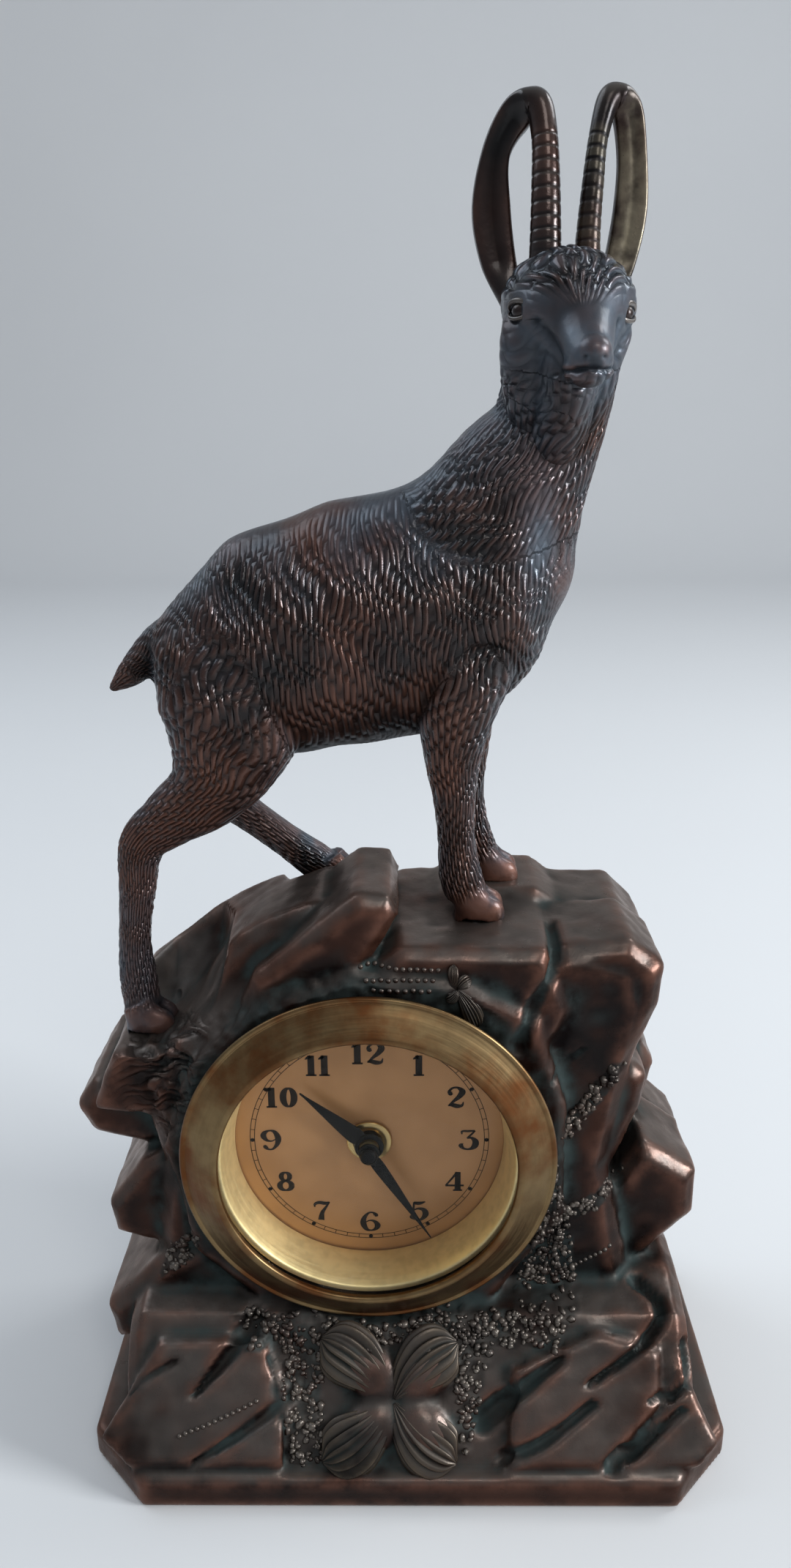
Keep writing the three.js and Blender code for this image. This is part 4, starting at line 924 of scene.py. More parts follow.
@dataclass
class Chamois:
    """The cast chamois: lofted parts under a body skin and a head skin, both with chased hair."""

    voxel: float = 0.585
    head_voxel: float = 0.33
    hoof_height: float = 6.5
    toe_spread: float = 2.2
    stroke_length: float = 4.3
    stroke_width: float = 1.25
    stroke_height: float = 0.3
    seam: float = 0.03
    brow: tuple[float, float, float] = (32, -12.5, 254.2)
    soles: tuple[tuple[float, float, float], ...] = (
        (16, 3, 127),
        (20.5, 19.5, 129.5),
        (-61.2, 1, 99),
        (-17, 23, 126.5),
    )
    torso: Limb = Limb((
        (-58.5, 15.5, 184, 2.5, 3), (-55, 15.5, 184, 8.5, 9), (-47, 15, 185, 13.5, 16.2),
        (-34, 14.5, 186.9, 16.8, 24.4), (-17, 13.5, 191.1, 18.3, 26.4), (1, 12.5, 195.6, 17.8, 27.2),
        (17, 11.5, 200, 16, 22.8), (27.5, 11, 202, 12.5, 16), (31.8, 10.7, 201, 8.4, 11),
        (34.8, 10.5, 199.4, 3, 4),
    ), around=72, hair_around=True, lean=0.25)
    brisket: Limb = Limb((
        (28, 11, 206, 4, 3), (28, 11, 198.6, 7.5, 5), (25.6, 11, 192.4, 8.6, 6.9), (21.6, 11, 186.8, 9, 7.3),
        (16.7, 11.3, 181.2, 8, 6.8), (12, 11.5, 178, 5, 4),
    ), around=40)
    neck: Limb = Limb((
        (6, 12.5, 199, 14, 20), (17, 11.5, 212, 14.5, 20), (24, 10.5, 224.5, 13.4, 15.6),
        (29, 9.8, 233.5, 12.4, 12), (30.9, 9, 240.7, 11.7, 11.4), (31.4, 7.5, 248, 10.8, 11),
        (31.6, 6, 255, 9, 10.2), (31.8, 5, 261, 4, 5),
    ), around=56)
    nape: Limb = Limb((
        (27.2, 10.2, 230, 10.6, 11), (29.2, 9.7, 234.4, 11.9, 11.4), (30.9, 9, 240.7, 11.8, 11.5),
        (31.4, 7.5, 248, 11.7, 11.9), (31.6, 6, 255, 9.8, 11.2), (31.8, 5, 261, 4, 5),
    ), around=56)
    head: Limb = Limb((
        (29.5, 18, 257, 3, 3), (30, 15, 257.5, 8.5, 7.5), (31, 8, 257.8, 12.2, 10),
        (31.9, 0, 257, 12.5, 10.6), (32.3, -5.6, 254.6, 11.2, 9.5), (33.1, -11, 250.6, 6.6, 7.6),
        (33.4, -16.5, 247.8, 4.6, 5.3), (33.6, -20, 246.7, 3.7, 4.1), (33.7, -22.2, 246.4, 1.7, 1.8),
    ), side=SIDEWAYS, around=56)
    legs: tuple[Limb, ...] = (
        Limb((
            (17, 7, 203, 6, 10), (13.6, 5, 190, 9, 12), (11.4, 4, 177, 8, 9.2), (10.2, 3.4, 167, 6, 6.8),
            (10.6, 3, 155, 4.4, 4.7), (11.2, 3, 145, 3.9, 4.2), (12, 3, 137.5, 4.4, 4.8),
            (13.6, 3, 132, 4.2, 4.8),
        )),
        Limb((
            (19, 17, 203, 6, 9), (15.5, 18, 190, 8, 9.6), (14, 19, 177, 6.8, 7), (14.3, 19.5, 167, 5.2, 5.6),
            (14.2, 19.5, 155, 4.1, 4.2), (14.7, 19.5, 147, 3.7, 4), (16, 19.5, 140, 4.1, 4.4),
            (18, 19.5, 134.8, 4, 4.4),
        )),
        Limb((
            (-34, 9, 196, 5, 10), (-38, 7, 184, 9.5, 17.5), (-39.5, 5.5, 169, 9, 15),
            (-45, 5, 157, 6.6, 9.6), (-54, 5, 149.8, 5, 6.8), (-60.8, 5, 143.5, 4.2, 5.3),
            (-62.8, 5, 132, 3.5, 4.2), (-64.2, 4.6, 120, 3.4, 3.7), (-64, 3.6, 111.5, 4, 4.3),
            (-63, 1.8, 104, 4, 4.4),
        )),
        Limb((
            (-32, 17, 194, 5, 9), (-35, 19.5, 181, 8, 14), (-39, 21, 167, 7.2, 11),
            (-43.5, 21.8, 156.5, 5.6, 7), (-45, 22, 150, 4.5, 4.8), (-38.5, 22.3, 144.6, 3.8, 4.2),
            (-29.5, 22.7, 137.4, 3.6, 4.1), (-23.5, 23, 132.6, 4.2, 4.6), (-20, 23, 130, 4, 4.4),
        )),
    )
    tail: Limb = Limb((
        (-52, 15.5, 191, 5, 4.5), (-57, 15.5, 186.5, 4.6, 4.4), (-62, 15.5, 181.8, 3.2, 3.4),
        (-67.6, 15.5, 177.4, 0.8, 0.8),
    ), around=32)
    mouth: tuple[Point, ...] = (
        (26.4, -11.5, 244.2), (29.2, -17.5, 244.9), (32.6, -22, 245.1), (36, -19.5, 245.3),
        (38, -15.5, 245.5),
    )
    mouth_depth: float = 1.0
    mouth_width: float = 0.55
    muzzle: tuple[tuple[Point, Point], ...] = (
        ((33.8, -19.4, 248.3), (3.4, 4, 3.1)),
        ((33.2, -18.2, 243.9), (3.1, 3, 1.9)),
        ((30.9, -16.4, 245.3), (2.4, 4.2, 2.0)),
        ((35.9, -16.4, 245.3), (2.4, 4.2, 2.0)),
    )
    bridge: tuple[Section, ...] = (
        (32.8, -6, 261, 3, 1.5), (33.1, -11.5, 256.4, 2.6, 1.6), (33.5, -17, 252.1, 2.5, 1.6),
        (33.7, -20.6, 249, 2.2, 1.4),
    )
    nose_tip: Point = (34, -22, 248.6)
    nostril_size: Point = (0.5, 1.8, 0.38)
    nostril_depth: float = 0.3
    brow_thickness: float = 1.15
    eyeball: Point = (2, 2, 1.85)
    lid_reach: float = 2.8
    lid_rise: float = 1.4
    lids: tuple[tuple[float, float], ...] = ((1.75, 0.55), (-1.5, 0.42))
    socket_radius: float = 2.4
    socket_depth: float = 0.7
    tear_width: float = 1.5
    tear_depth: float = 0.75
    flesh_size: float = 17
    flesh_height: float = 0.55
    breast: tuple[Point, Point] = ((27.5, -1, 213), (4.5, 10, 12))
    brisket_front: tuple[Point, Point] = ((35, 9, 199), (6, 12, 11))
    gullet: tuple[Point, Point] = ((31, -6, 241), (10, 8, 6))
    hoof_reach: float = 9
    throat: Limb = Limb((
        (32.4, -8, 251, 7.5, 5), (31.8, -5, 247.5, 10.2, 6.4), (31.4, -1.6, 243, 10.6, 6.4),
        (30.8, 1.8, 238, 10.2, 6.6), (30, 4.6, 232, 8.6, 6), (29.4, 7, 227, 5, 4),
    ), around=40)
    cheeks: tuple[Limb, ...] = (
        Limb((
            (23.4, 0, 255, 3.6, 4.5), (23.6, -2.6, 251.5, 4.8, 5.4), (24, -2.6, 247, 5, 5.8),
            (25, -0.8, 242, 5.2, 6), (26.5, 2.2, 236.5, 5, 5.4), (27.5, 5, 231.5, 3, 3.4),
        ), around=32),
        Limb((
            (39.6, 0, 255, 3, 4.5), (38.2, -2.6, 251.5, 3.7, 5.4), (36.3, -2.6, 247, 4, 5.8),
            (35, -0.8, 242, 4.4, 6), (33.6, 2.2, 236.5, 4.4, 5.4), (32.5, 5, 231.5, 3, 3.4),
        ), around=32),
    )
    blends: tuple[tuple[Point, Point, float, int], ...] = (
        ((12, 11, 216), (22, 17, 16), 1.0, 200),
        ((2, 12, 220), (14, 14, 9), 1.0, 250),
        ((30, 10, 203), (12, 15, 16), 1.0, 160),
        ((30, 11, 191), (10, 14, 13), 1.0, 120),
        ((-40, 8, 182), (20, 10, 22), 0.8, 50),
        ((25, -4, 246), (6, 6, 7), 1.0, 110),
        ((38.5, -4, 246), (5, 6, 7), 1.0, 110),
        ((33, -10, 257), (8, 5, 3.5), 0.9, 60),
        ((30.5, 15.5, 254), (12, 8, 9), 1.0, 180),
        ((23.6, -6, 251), (4.5, 4.5, 3.4), 1.0, 90),
        ((33.5, -17, 249), (6, 7, 5), 0.5, 14),
    )
    eyes: tuple[tuple[float, float, float], ...] = ((21.9, -5.6, 255.9), (41.3, -6, 255.3))

    def limbs(self) -> list[Limb]:
        """The parts that say how the hair lies, in one order."""
        return [self.torso, self.neck, self.head, *self.legs, self.tail]

    def hoof(self, sole: Sequence[float]) -> Surface:
        """One cloven hoof: two toes side by side over the middle of the sole."""
        x, y, z = sole
        toes = [
            Spine.through((
                (x - 2.6, y + offset * 0.8, z + self.hoof_height, 2.3, 3.6),
                (x - 1, y + offset, z + self.hoof_height / 2, 2.7, 4.6),
                (x + 0.4, y + offset, z + 0.9, 3, 5.9),
                (x + 0.4, y + offset, z + 0.1, 2.7, 5.5),
            ), (0, -1, 0), 6)
            for offset in (-self.toe_spread, self.toe_spread)
        ]
        return Surface.join(loft(toe, 28) for toe in toes)

    def face(self) -> Surface:
        """The muzzle, the bridge of the nose and a brow over each eye."""
        parts = [egg(middle, sizes) for middle, sizes in self.muzzle]
        parts.append(loft(Spine.through(self.bridge, SIDEWAYS, 6), 16))
        for side, eye in zip((-1, 1), np.array(self.eyes)):
            brow = eye + np.array(((-side * 3, -2.4, 2.4), (-side * 1, -0.6, 3.2), (side * 0.7, 2.6, 2.8)))
            rows = np.concatenate([brow, np.full((3, 2), self.brow_thickness)], axis=1)
            parts.append(loft(Spine.through(rows, (0, 0, 1), 6), 14))
        return Surface.join(parts)

    def eyelids(self) -> tuple[Surface, Array]:
        """Both eyes: a ball between an upper and a lower lid, which are tubes bowed over it.

        Returns:
            The eyes, and how much painted sheen each point carries: 0 on the balls, 1 on the lids, which get
            a painted highlight.
        """
        parts, painted_sheen_amount = [], []
        angle = np.linspace(0.0, np.pi, 11)
        arch = np.sin(angle)
        for side, eye in zip((-1, 1), np.array(self.eyes)):
            out = unit(np.array((0.76 * side, -0.65, 0.05)))
            across = unit(np.cross((0, 0, 1.0), out))
            up = np.cross(out, across)
            parts.append(egg(eye - 0.3 * out, self.eyeball, 28, 18))
            painted_sheen_amount.append(np.zeros(len(parts[-1].points)))
            for rise, thick in self.lids:
                bow = [self.lid_reach * np.cos(angle), rise * arch, self.lid_rise * arch**0.6 - 0.1]
                lid = eye + np.stack(bow, axis=1) @ np.stack([across, up, out])
                girth = thick * (0.35 + 0.65 * arch)
                rows = np.concatenate([lid, girth[:, None], girth[:, None]], axis=1)
                parts.append(loft(Spine.through(rows, out, 5), 14))
                painted_sheen_amount.append(np.ones(len(parts[-1].points)))
        return Surface.join(parts), np.concatenate(painted_sheen_amount)

    def skin_over(self, limbs: Sequence[Limb], others: Sequence[Surface], voxel: float, rounds: int) -> Skin:
        """Join limbs and other surfaces under one skin, and smooth it where its parts meet.

        Args:
            limbs: The limbs to loft.
            others: Surfaces that join them.
            voxel: Size of the skin's faces.
            rounds: Rounds of smoothing over the whole skin.

        Returns:
            The skin.
        """
        lofts = [loft(limb.spine(), limb.around) for limb in limbs]
        skin = Skin.over(Surface.join([*lofts, *others]), voxel, "rough_skin")
        skin.smooth(rounds)
        for middle, reach, share, times in self.blends:
            skin.soften([middle], reach, times, share)
        return skin

    def body_skin(self) -> Skin:
        """The figure up to the head, a little uneven over its flesh."""
        limbs = [self.torso, self.brisket, self.neck, *self.legs, self.tail]
        skin = self.skin_over(limbs, [self.hoof(sole) for sole in self.soles], self.voxel, 4)
        height = skin.points[:, 2]
        flesh = ramp(height, 150, 175) * ramp(height, 228, 216)
        skin.push(self.flesh_height * ripples(skin.points, self.flesh_size, 3) * flesh)
        return skin

    def head_skin(self) -> Skin:
        """The head, which runs down into the neck, with mouth, nostrils, eye sockets and tear grooves cut."""
        limbs = [self.head, self.nape, self.throat, *self.cheeks]
        skin = self.skin_over(limbs, [self.face()], self.head_voxel, 6)
        p = skin.points
        ground = skin.ground()
        gap, along = distance_to_path(p, onto(ground, smooth_curve(self.mouth, 8)))
        shut = np.clip(0.25 + 3 * np.minimum(along, 1 - along), 0, 1)
        cut = self.mouth_depth * np.exp(-((gap / self.mouth_width) ** 2)) * shut
        for side, eye in zip((-1, 1), np.array(self.eyes)):
            cut += self.nostril_depth * spot(p, (33.7 + side * 1.7, -22.2, 247.2), self.nostril_size)
            cut += self.socket_depth * spot(p, eye, self.socket_radius, 4)
            inner = (eye[0] - side * 3, -10, 253.5)
            tear = (inner, (32.6 + side * 6.2, -12.5, 250), (33 + side * 5, -14.5, 247.4))
            gap, _ = distance_to_path(p, onto(ground, smooth_curve(tear, 8)))
            cut += self.tear_depth * np.exp(-((gap / self.tear_width) ** 2))
        skin.push(-cut)
        return skin

    def lie(self, limb: Limb, points: Array) -> tuple[Array, Array]:
        """How hair lies on one limb: lengthwise or round it, or spread from the brow on the head.

        Args:
            limb: The limb.
            points: Points of the figure.

        Returns:
            Their distance from the limb's middle line for its thickness, and their place in lengths and
            widths of its strokes.
        """
        spine = limb.spine()
        girth = spine.sizes.mean(1)
        gaps = np.linalg.norm(points[:, None, :] - spine.places, axis=2) / np.maximum(girth, 2)
        row = gaps.argmin(1)
        offset = points - spine.places[row]
        angle = np.arctan2((offset * spine.deep[row]).sum(1), (offset * spine.across[row]).sum(1))
        tangent = np.cross(spine.across[row], spine.deep[row])
        along, across = spine.length[row] + (offset * tangent).sum(1), angle * girth.mean()
        if limb.hair_around:
            along, across = across, along + limb.lean * across
        nearness = gaps.min(1)
        if limb is self.head:
            spread = points - np.array(self.brow)
            along, across = 0.7 * np.linalg.norm(spread, axis=1), 6.2 * np.arctan2(spread[:, 2], spread[:, 0])
            nearness = nearness + ramp(points[:, 2], 246, 242)
        return nearness, np.stack([along / self.stroke_length, across / self.stroke_width, 0 * along], axis=1)

    def hair(self, skin: Skin) -> tuple[Array, Array]:
        """Where the hair lies: the strokes' own coordinates, and how deep they are cut.

        The nearest limb for its thickness gives a point its stroke. The strokes grow shallow where the
        nearest limb changes, on the back and the hooves, round the eyes and where the metal is rubbed smooth.

        Args:
            skin: The figure's surface.

        Returns:
            Stroke coordinates in lengths and widths, and depth, where 1 is the full stroke height.
        """
        p, rise = skin.points, skin.normals[:, 2]
        lies = [self.lie(limb, p) for limb in self.limbs()]
        near = np.array([nearness for nearness, _ in lies])
        first, second = np.sort(near, axis=0)[:2]
        strokes = np.array([grid for _, grid in lies])[near.argmin(0), np.arange(len(p))]
        strokes += np.stack([0.35 * ripples(p, 8, 9), 0.6 * ripples(p, 13, 8), 0 * rise], axis=1)
        depth = np.clip(1.15 - 1.9 * np.clip(rise - 0.3, 0, 1), 0.06, 1) * np.clip(2 + 2 * rise, 0.2, 1)
        depth *= ramp(away(p, self.soles, self.hoof_reach), 0.75, 1.05)
        forehead = ramp(p[:, 2] - 0.12 * np.abs(p[:, 0] - self.brow[0]), 256, 260.5)
        face = np.maximum(ramp(p[:, 1], -12, -6), forehead) * ramp(away(p, self.eyes), 3.2, 5.2)
        on_head = ramp(p[:, 2], 242, 246)
        depth = depth * (1 - on_head) + face * (0.4 + 1.1 * forehead) * on_head
        depth *= 1 - 0.6 * spot(p, *self.breast)
        depth *= 1 - 0.85 * spot(p, *self.brisket_front, 4)
        depth *= 1 - 0.7 * spot(p, *self.gullet, 4)
        return strokes, depth * np.clip((second - first) / self.seam, 0.5, 1)

    def dress(self, skin: Skin, name: str, stands_for: Sequence[str]) -> None:
        """Chase the hair into a skin, paint it and show it.

        Args:
            skin: The bare skin.
            name: The piece's name.
            stands_for: Nodes of the frame that it replaces.
        """
        strokes, depth = self.hair(skin)
        edge, lumps = skin.relief(10), skin.relief(60)
        skin.push(self.stroke_height * (dashes(strokes) - 0.5) * depth)
        p, normals = skin.points, skin.normals
        wear = 0.4 * ramp(edge, 0, 0.16) + 0.3 * ramp(lumps, 0, 0.5)
        wear += 0.35 * np.clip(1.2 - away(p, self.soles, (10, 9, 8)), 0, 1)
        wear += 0.25 * spot(p, self.nose_tip, 2.6)
        # Dark patina in hollows, and painted shade on faces that look down.
        dirt = 0.6 * ramp(edge, 0, -0.12) + 0.4 * ramp(lumps, 0, -0.6)
        dirt += 0.9 * np.clip(-normals[:, 2] - 0.1, 0, 1)
        # Painted sheen: a pale blue-grey reflection of the sky painted on the head and neck, a painted
        # highlight on the breast, and painted light on faces that look sideways and on the low hind leg.
        cool = 0.62 * ramp(p[:, 2], 220, 238) + 0.9 * spot(p, *self.breast)
        cool += 0.5 * ramp(np.abs(normals[:, 0]), 0.35, 0.85)
        cool += 0.6 * ramp(p[:, 2], 150, 130) * (p[:, 0] < -30)
        paints = clipped(wear=wear, dirt=dirt, cool=cool)
        show(skin.mesh(name, **paints, fur=depth, strokes=strokes), Finish.FUR, stands_for=stands_for)

    def build(self) -> None:
        """Make the figure under its hair, and its eyes."""
        self.dress(self.body_skin(), "chamois", ["chamois_casting"])
        self.dress(self.head_skin(), "chamois_head", ())
        eyes, painted_sheen_amount = self.eyelids()
        # The lids carry a painted highlight.
        show(painted_mesh(eyes, "eyes", wear=0 * painted_sheen_amount, dirt=0 * painted_sheen_amount, cool=painted_sheen_amount), Finish.HORN)


@dataclass
class Horn:
    """A ringed horn that rises from the brow and hooks outward into a long hollowed ear."""

    name: str
    node: str
    loop: tuple[Section, ...]
    rings: int = 12
    ring_depth: float = 0.045
    ringed_share: float = 0.36
    bared: float = 0.0
    finish: Finish = Finish.HORN
    around: int = 48
    hollow_depth: float = 0.62
    rim_height: float = 0.12

    def build(self) -> None:
        """Carry a swelling oval along the loop, ringed on the horn and hollowed on the ear's front."""
        spine = Spine.through(self.loop, SIDEWAYS, 36)
        share = np.linspace(0, 1, len(spine.places))[:, None]
        angle = ring_angles(self.around)
        on_horn = ramp(share, self.ringed_share, self.ringed_share - 0.03) * ramp(share, 0.05, 0.11)
        wave = np.cos(2 * np.pi * share / self.ringed_share * self.rings)
        grooves = np.clip(wave, 0, 1) ** 3 * on_horn
        on_ear = ramp(share, 0.5, 0.58) * ramp(share, 0.97, 0.89)
        toward_viewer = -(spine.across[:, None, 1] * np.cos(angle) + spine.deep[:, None, 1] * np.sin(angle))
        hollow = on_ear * np.clip(toward_viewer, 0, 1) ** 2
        rim = on_ear * np.exp(-(((np.abs(toward_viewer) - 0.45) / 0.2) ** 2))
        bulge = self.rim_height * rim - self.hollow_depth * hollow - self.ring_depth * grooves
        scooped = self.hollow_depth * hollow
        wear = np.clip(0.15 * on_horn - grooves, 0, 1) + 0.25 * rim + self.bared * scooped
        dirt = 0.5 * grooves + (0.9 - 0.5 * self.bared) * scooped
        paints = {label: np.append(paint, [0, 0]) for label, paint in clipped(wear=wear, dirt=dirt).items()}
        mesh = painted_mesh(loft(spine, self.around, bulge), self.name, **paints)
        show(mesh, self.finish, stands_for=[self.node])


LEFT_LOOP: tuple[Section, ...] = (
    (27.1, 3, 263, 3.2, 3.2), (27.1, 4, 270, 3.05, 3.1), (27, 5.5, 279, 2.8, 2.8),
    (26.7, 7.5, 287.5, 2.55, 2.6), (25.3, 9.4, 293.4, 2.7, 2.8), (21.7, 10.8, 292.2, 3.3, 2.5),
    (17.8, 11.4, 285.5, 2.8, 2), (17.05, 11, 275.5, 3.8, 1.9), (18.6, 10, 266, 3.5, 2),
    (21.4, 9, 258.5, 2.5, 2.2),
)
RIGHT_LOOP: tuple[Section, ...] = (
    (35.2, 3, 263, 2.7, 2.9), (35.3, 4, 270, 2.35, 2.6), (36, 5.5, 279, 2.1, 2.3), (37, 7.5, 287.5, 1.9, 2.2),
    (39.2, 9.4, 294.2, 2.4, 2.5), (42.6, 10.8, 292.8, 2.9, 2.3), (44.3, 11.4, 284.5, 2.9, 2),
    (44.4, 11, 275, 3.3, 1.9), (42.8, 10, 266, 3.1, 2), (40.8, 9, 259, 2.4, 2.2),
)


# The rock


@dataclass(frozen=True)
class Cut:
    """A tool mark in the rock: a path with the half width at its two ends and its depth."""

    path: tuple[Point, ...]
    start: float
    end: float
    depth: float

    def depth_at(self, points: Array, ground: BVHTree) -> Array:
        """The depth at points: a V whose half width changes evenly along the path.

        Args:
            points: Points of the rock.
            ground: The rock, which the path is drawn onto.

        Returns:
            The depth of the cut at each point.
        """
        path = onto(ground, smooth_curve(self.path, 6))
        out = np.zeros(len(points))
        reach = max(self.start, self.end)
        low, high = path.min(0) - reach, path.max(0) + reach
        near = np.flatnonzero(((points > low) & (points < high)).all(1))
        if len(near):
            gap, share = distance_to_path(points[near], path)
            width = self.start + (self.end - self.start) * share
            out[near] = self.depth * np.clip(1 - gap / np.maximum(width, LEAST_CUT), 0, 1) ** 0.8
        return out


@dataclass
class Rock:
    """The cast rock: tilted strata, gouged plates and cracks under one skin, with grit and leaves on it."""

    voxel: float = 1.03
    cuts: tuple[Cut, ...] = (
        Cut(((-36.5, -25, 35), (-43, -30.5, 28.5), (-49.5, -35.4, 23)), 3.4, 0.7, 2.6),
        Cut(((-27, -35.5, 23), (-38, -39.5, 16.5), (-48.9, -43, 11.2)), 2.2, 0.9, 1.6),
        Cut(((-54.4, -31.7, 28.9), (-66, -35, 24)), 1.1, 1.0, 0.9),
        Cut(((-32, -30.5, 29.3), (-28.4, -40.8, 9.9)), 1.3, 1.3, 1.0),
        Cut(((35, -31, 29.5), (25, -34, 23), (17.1, -36.2, 17)), 1.5, 3.6, 2.6),
        Cut(((42, -36.5, 21.5), (31, -39.5, 14.5), (22.6, -40.6, 10.8)), 1.4, 2.2, 2.2),
        Cut(
            ((55, -15.4, 37.9), (59, -20, 36.2), (57.7, -25.7, 33.4), (50, -30.5, 29), (41.4, -34.1, 25.1)),
            2.4, 0.8, 2.8,
        ),
        Cut(((64.7, -26.4, 29.2), (66, -31, 25.5), (61, -34.5, 23), (55.5, -36, 22.2)), 2.2, 0.8, 2.2),
        Cut(((62.5, -36.5, 20), (54, -40, 15), (45.9, -42.1, 10.5)), 1.2, 2.6, 2.2),
        Cut(((32.8, -1.1, 126.1), (32.1, -13, 124), (26.7, -19, 112.9), (24.2, -20.7, 105.2)), 1.6, 2.2, 1.7),
        Cut(((39.2, -15, 101.3), (32.3, -19.9, 96.5)), 1.0, 1.0, 0.7),
    )
    soles: tuple[Point, ...] = Chamois.soles
    sole_reach: Point = (19, 13, 9)
    shoulder: Point = (-42, -1, 108)
    shoulder_reach: Point = (17, 18, 14)
    tuft: Point = (-54, -13, 94)
    tuft_reach: Point = (12, 12, 13)
    tuft_height: float = 1.5
    tuft_length: float = 8
    tuft_width: float = 1.9
    seat_corner: Point = (-34, -24, 90)
    seat_height: float = 98.6
    seat_slopes: tuple[tuple[int, float, float], ...] = ((0, -57, 0.8), (0, -45, 3), (1, 9, 1.2))
    plinth_top: tuple[float, float] = (6, 14)
    collar_width: float = 2.6
    collar_depth: float = 0.7

    def rough(self) -> Surface:
        """The frame's own rock, with its doubled corners merged."""
        source = frame["nodes"]["rock_casting"].data
        source.calc_loop_triangles()
        points = read(source.vertices, "co", 3, np.float32)
        corners = read(source.loop_triangles, "vertices", 3)
        keys, merged = np.unique(np.round(points / MM, 3), axis=0, return_inverse=True)
        return Surface(keys, triangles=merged.ravel()[corners])

    def seat(self, points: Array) -> Array:
        """The top of the step under the left hind hoof, rising in slopes to the right and to the back."""
        rises = [slope * np.clip(points[:, axis] - start, 0, None) for axis, start, slope in self.seat_slopes]
        return self.seat_height + sum(rises)

    def carved(self) -> tuple[Skin, Array]:
        """The rock's skin with its tool marks cut.

        Returns:
            The skin, and how deep each point was cut.
        """
        skin = Skin.over(self.rough(), self.voxel, "rough_rock")
        skin.smooth(5)
        p = skin.points
        right, front, foot = self.seat_corner
        on_seat = (p[:, 0] < right) & (p[:, 1] > front) & (p[:, 2] > foot)
        p[on_seat, 2] = np.minimum(p[on_seat, 2], self.seat(p[on_seat]))
        skin.soften(self.soles, self.sole_reach, 60)
        skin.soften([self.shoulder], self.shoulder_reach, 260)
        p = skin.points
        above_plinth = ramp(p[:, 2], *self.plinth_top)
        skin.push((0.3 * ripples(p, 24, 5) + 0.1 * ripples(p, 7, 6)) * above_plinth)
        ground = skin.ground()
        depth = np.max([cut.depth_at(skin.points, ground) for cut in self.cuts], axis=0)
        skin.push(-depth)
        return skin, depth

    def collar(self, points: Array) -> Array:
        """How near points lie to the rough seat round the bezel, from 0 to 1."""
        low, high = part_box("bezel")
        middle, radius = (low + high) / 2 / MM, (high.x - low.x) / 2 / MM
        out = np.hypot(points[:, 0] - middle.x, points[:, 2] - middle.z) - radius
        return np.exp(-((np.clip(out - 1, 0, None) / self.collar_width) ** 2)) * (points[:, 1] < -9)

    def build(self) -> None:
        """Make the rock's skin and what lies on it."""
        skin, depth = self.carved()
        edge, broad = skin.relief(10), skin.relief(70)
        p = skin.points
        collar = self.collar(p)
        tufted = spot(p, self.tuft, self.tuft_reach, 4)
        along = (p[:, 0] * 0.95 + p[:, 2] * 0.3 + 2.2 * ripples(p, 12, 21)) / self.tuft_length
        across = (p[:, 2] - 0.3 * p[:, 0] + 1.6 * ripples(p, 9, 22)) / self.tuft_width
        strokes = np.stack([along, across, 0 * along], axis=1)
        gritty = np.max([gravel_share(p, patch) for patch in Gravel.patches], axis=0)
        skin.push(self.tuft_height * (dashes(strokes) - 0.5) * tufted)
        sunk = collar * (0.35 * ripples(p, 3.2, 24) - self.collar_depth)
        skin.push(sunk + gritty * 0.4 * ripples(p, 2.6, 25))
        wear = 0.5 * ramp(edge, 0, 0.3) + 0.06 * ramp(broad, 0, 1.8)
        wear = wear * (1 - collar) * (1 - 0.7 * gritty)
        # Dark patina and verdigris in hollows, cuts and grit, and painted shade in the seat where the rock
        # meets the bezel.
        dirt = 0.6 * ramp(edge, 0, -0.22) + 0.6 * ramp(broad, 0, -1.2) + ramp(depth, 0, 1.5)
        dirt = np.maximum(dirt, np.maximum(0.8 * collar, 0.6 * gritty))
        mesh = skin.mesh("rock", **clipped(wear=wear, dirt=dirt), fur=tufted, strokes=strokes)
        show(mesh, Finish.ROCK, stands_for=["rock_casting"])
        ground = skin.ground()
        for dressing in (Gravel(), Beading(), Foliage()):
            dressing.build(ground)


def inside(places: Array, patch: Array) -> Array:
    """Which places of x and z lie in a polygon: an odd number of its edges pass to their right."""
    never_level = 1e-12
    ends = np.roll(patch, -1, 0)
    x, z = places[:, :1], places[:, 1:]
    rise = (ends[:, 1] - patch[:, 1]) + never_level
    crosses = (patch[:, 1] > z) != (ends[:, 1] > z)
    at = patch[:, 0] + (z - patch[:, 1]) / rise * (ends[:, 0] - patch[:, 0])
    return (crosses & (x < at)).sum(1) % 2 == 1


def gravel_share(points: Array, patch: Sequence[Sequence[float]]) -> Array:
    """1 for points on the rock's front that lie in a patch of grit, and 0 for the rest."""
    return (inside(points[:, [0, 2]], np.array(patch)) & (points[:, 1] < 5)).astype(float)


def drop(ground: BVHTree, places: Iterable[Sequence[float]]) -> tuple[Array, Array]:
    """Look from the front at places of x and z, and find where the rock is.

    Args:
        ground: The rock.
        places: Pairs of x and z.

    Returns:
        The points on the rock and the rock's normals there. Places that miss it, or meet it behind the
        rear limit, are left out.
    """
    in_front, rear_limit = -90, 12
    hits = [ground.ray_cast(Vector((x, in_front, z)), Vector((0, 1, 0))) for x, z in places]
    found = [(at, normal) for at, normal, _, _ in hits if at is not None and at.y < rear_limit]
    return np.array([tuple(at) for at, _ in found]), np.array([tuple(normal) for _, normal in found])


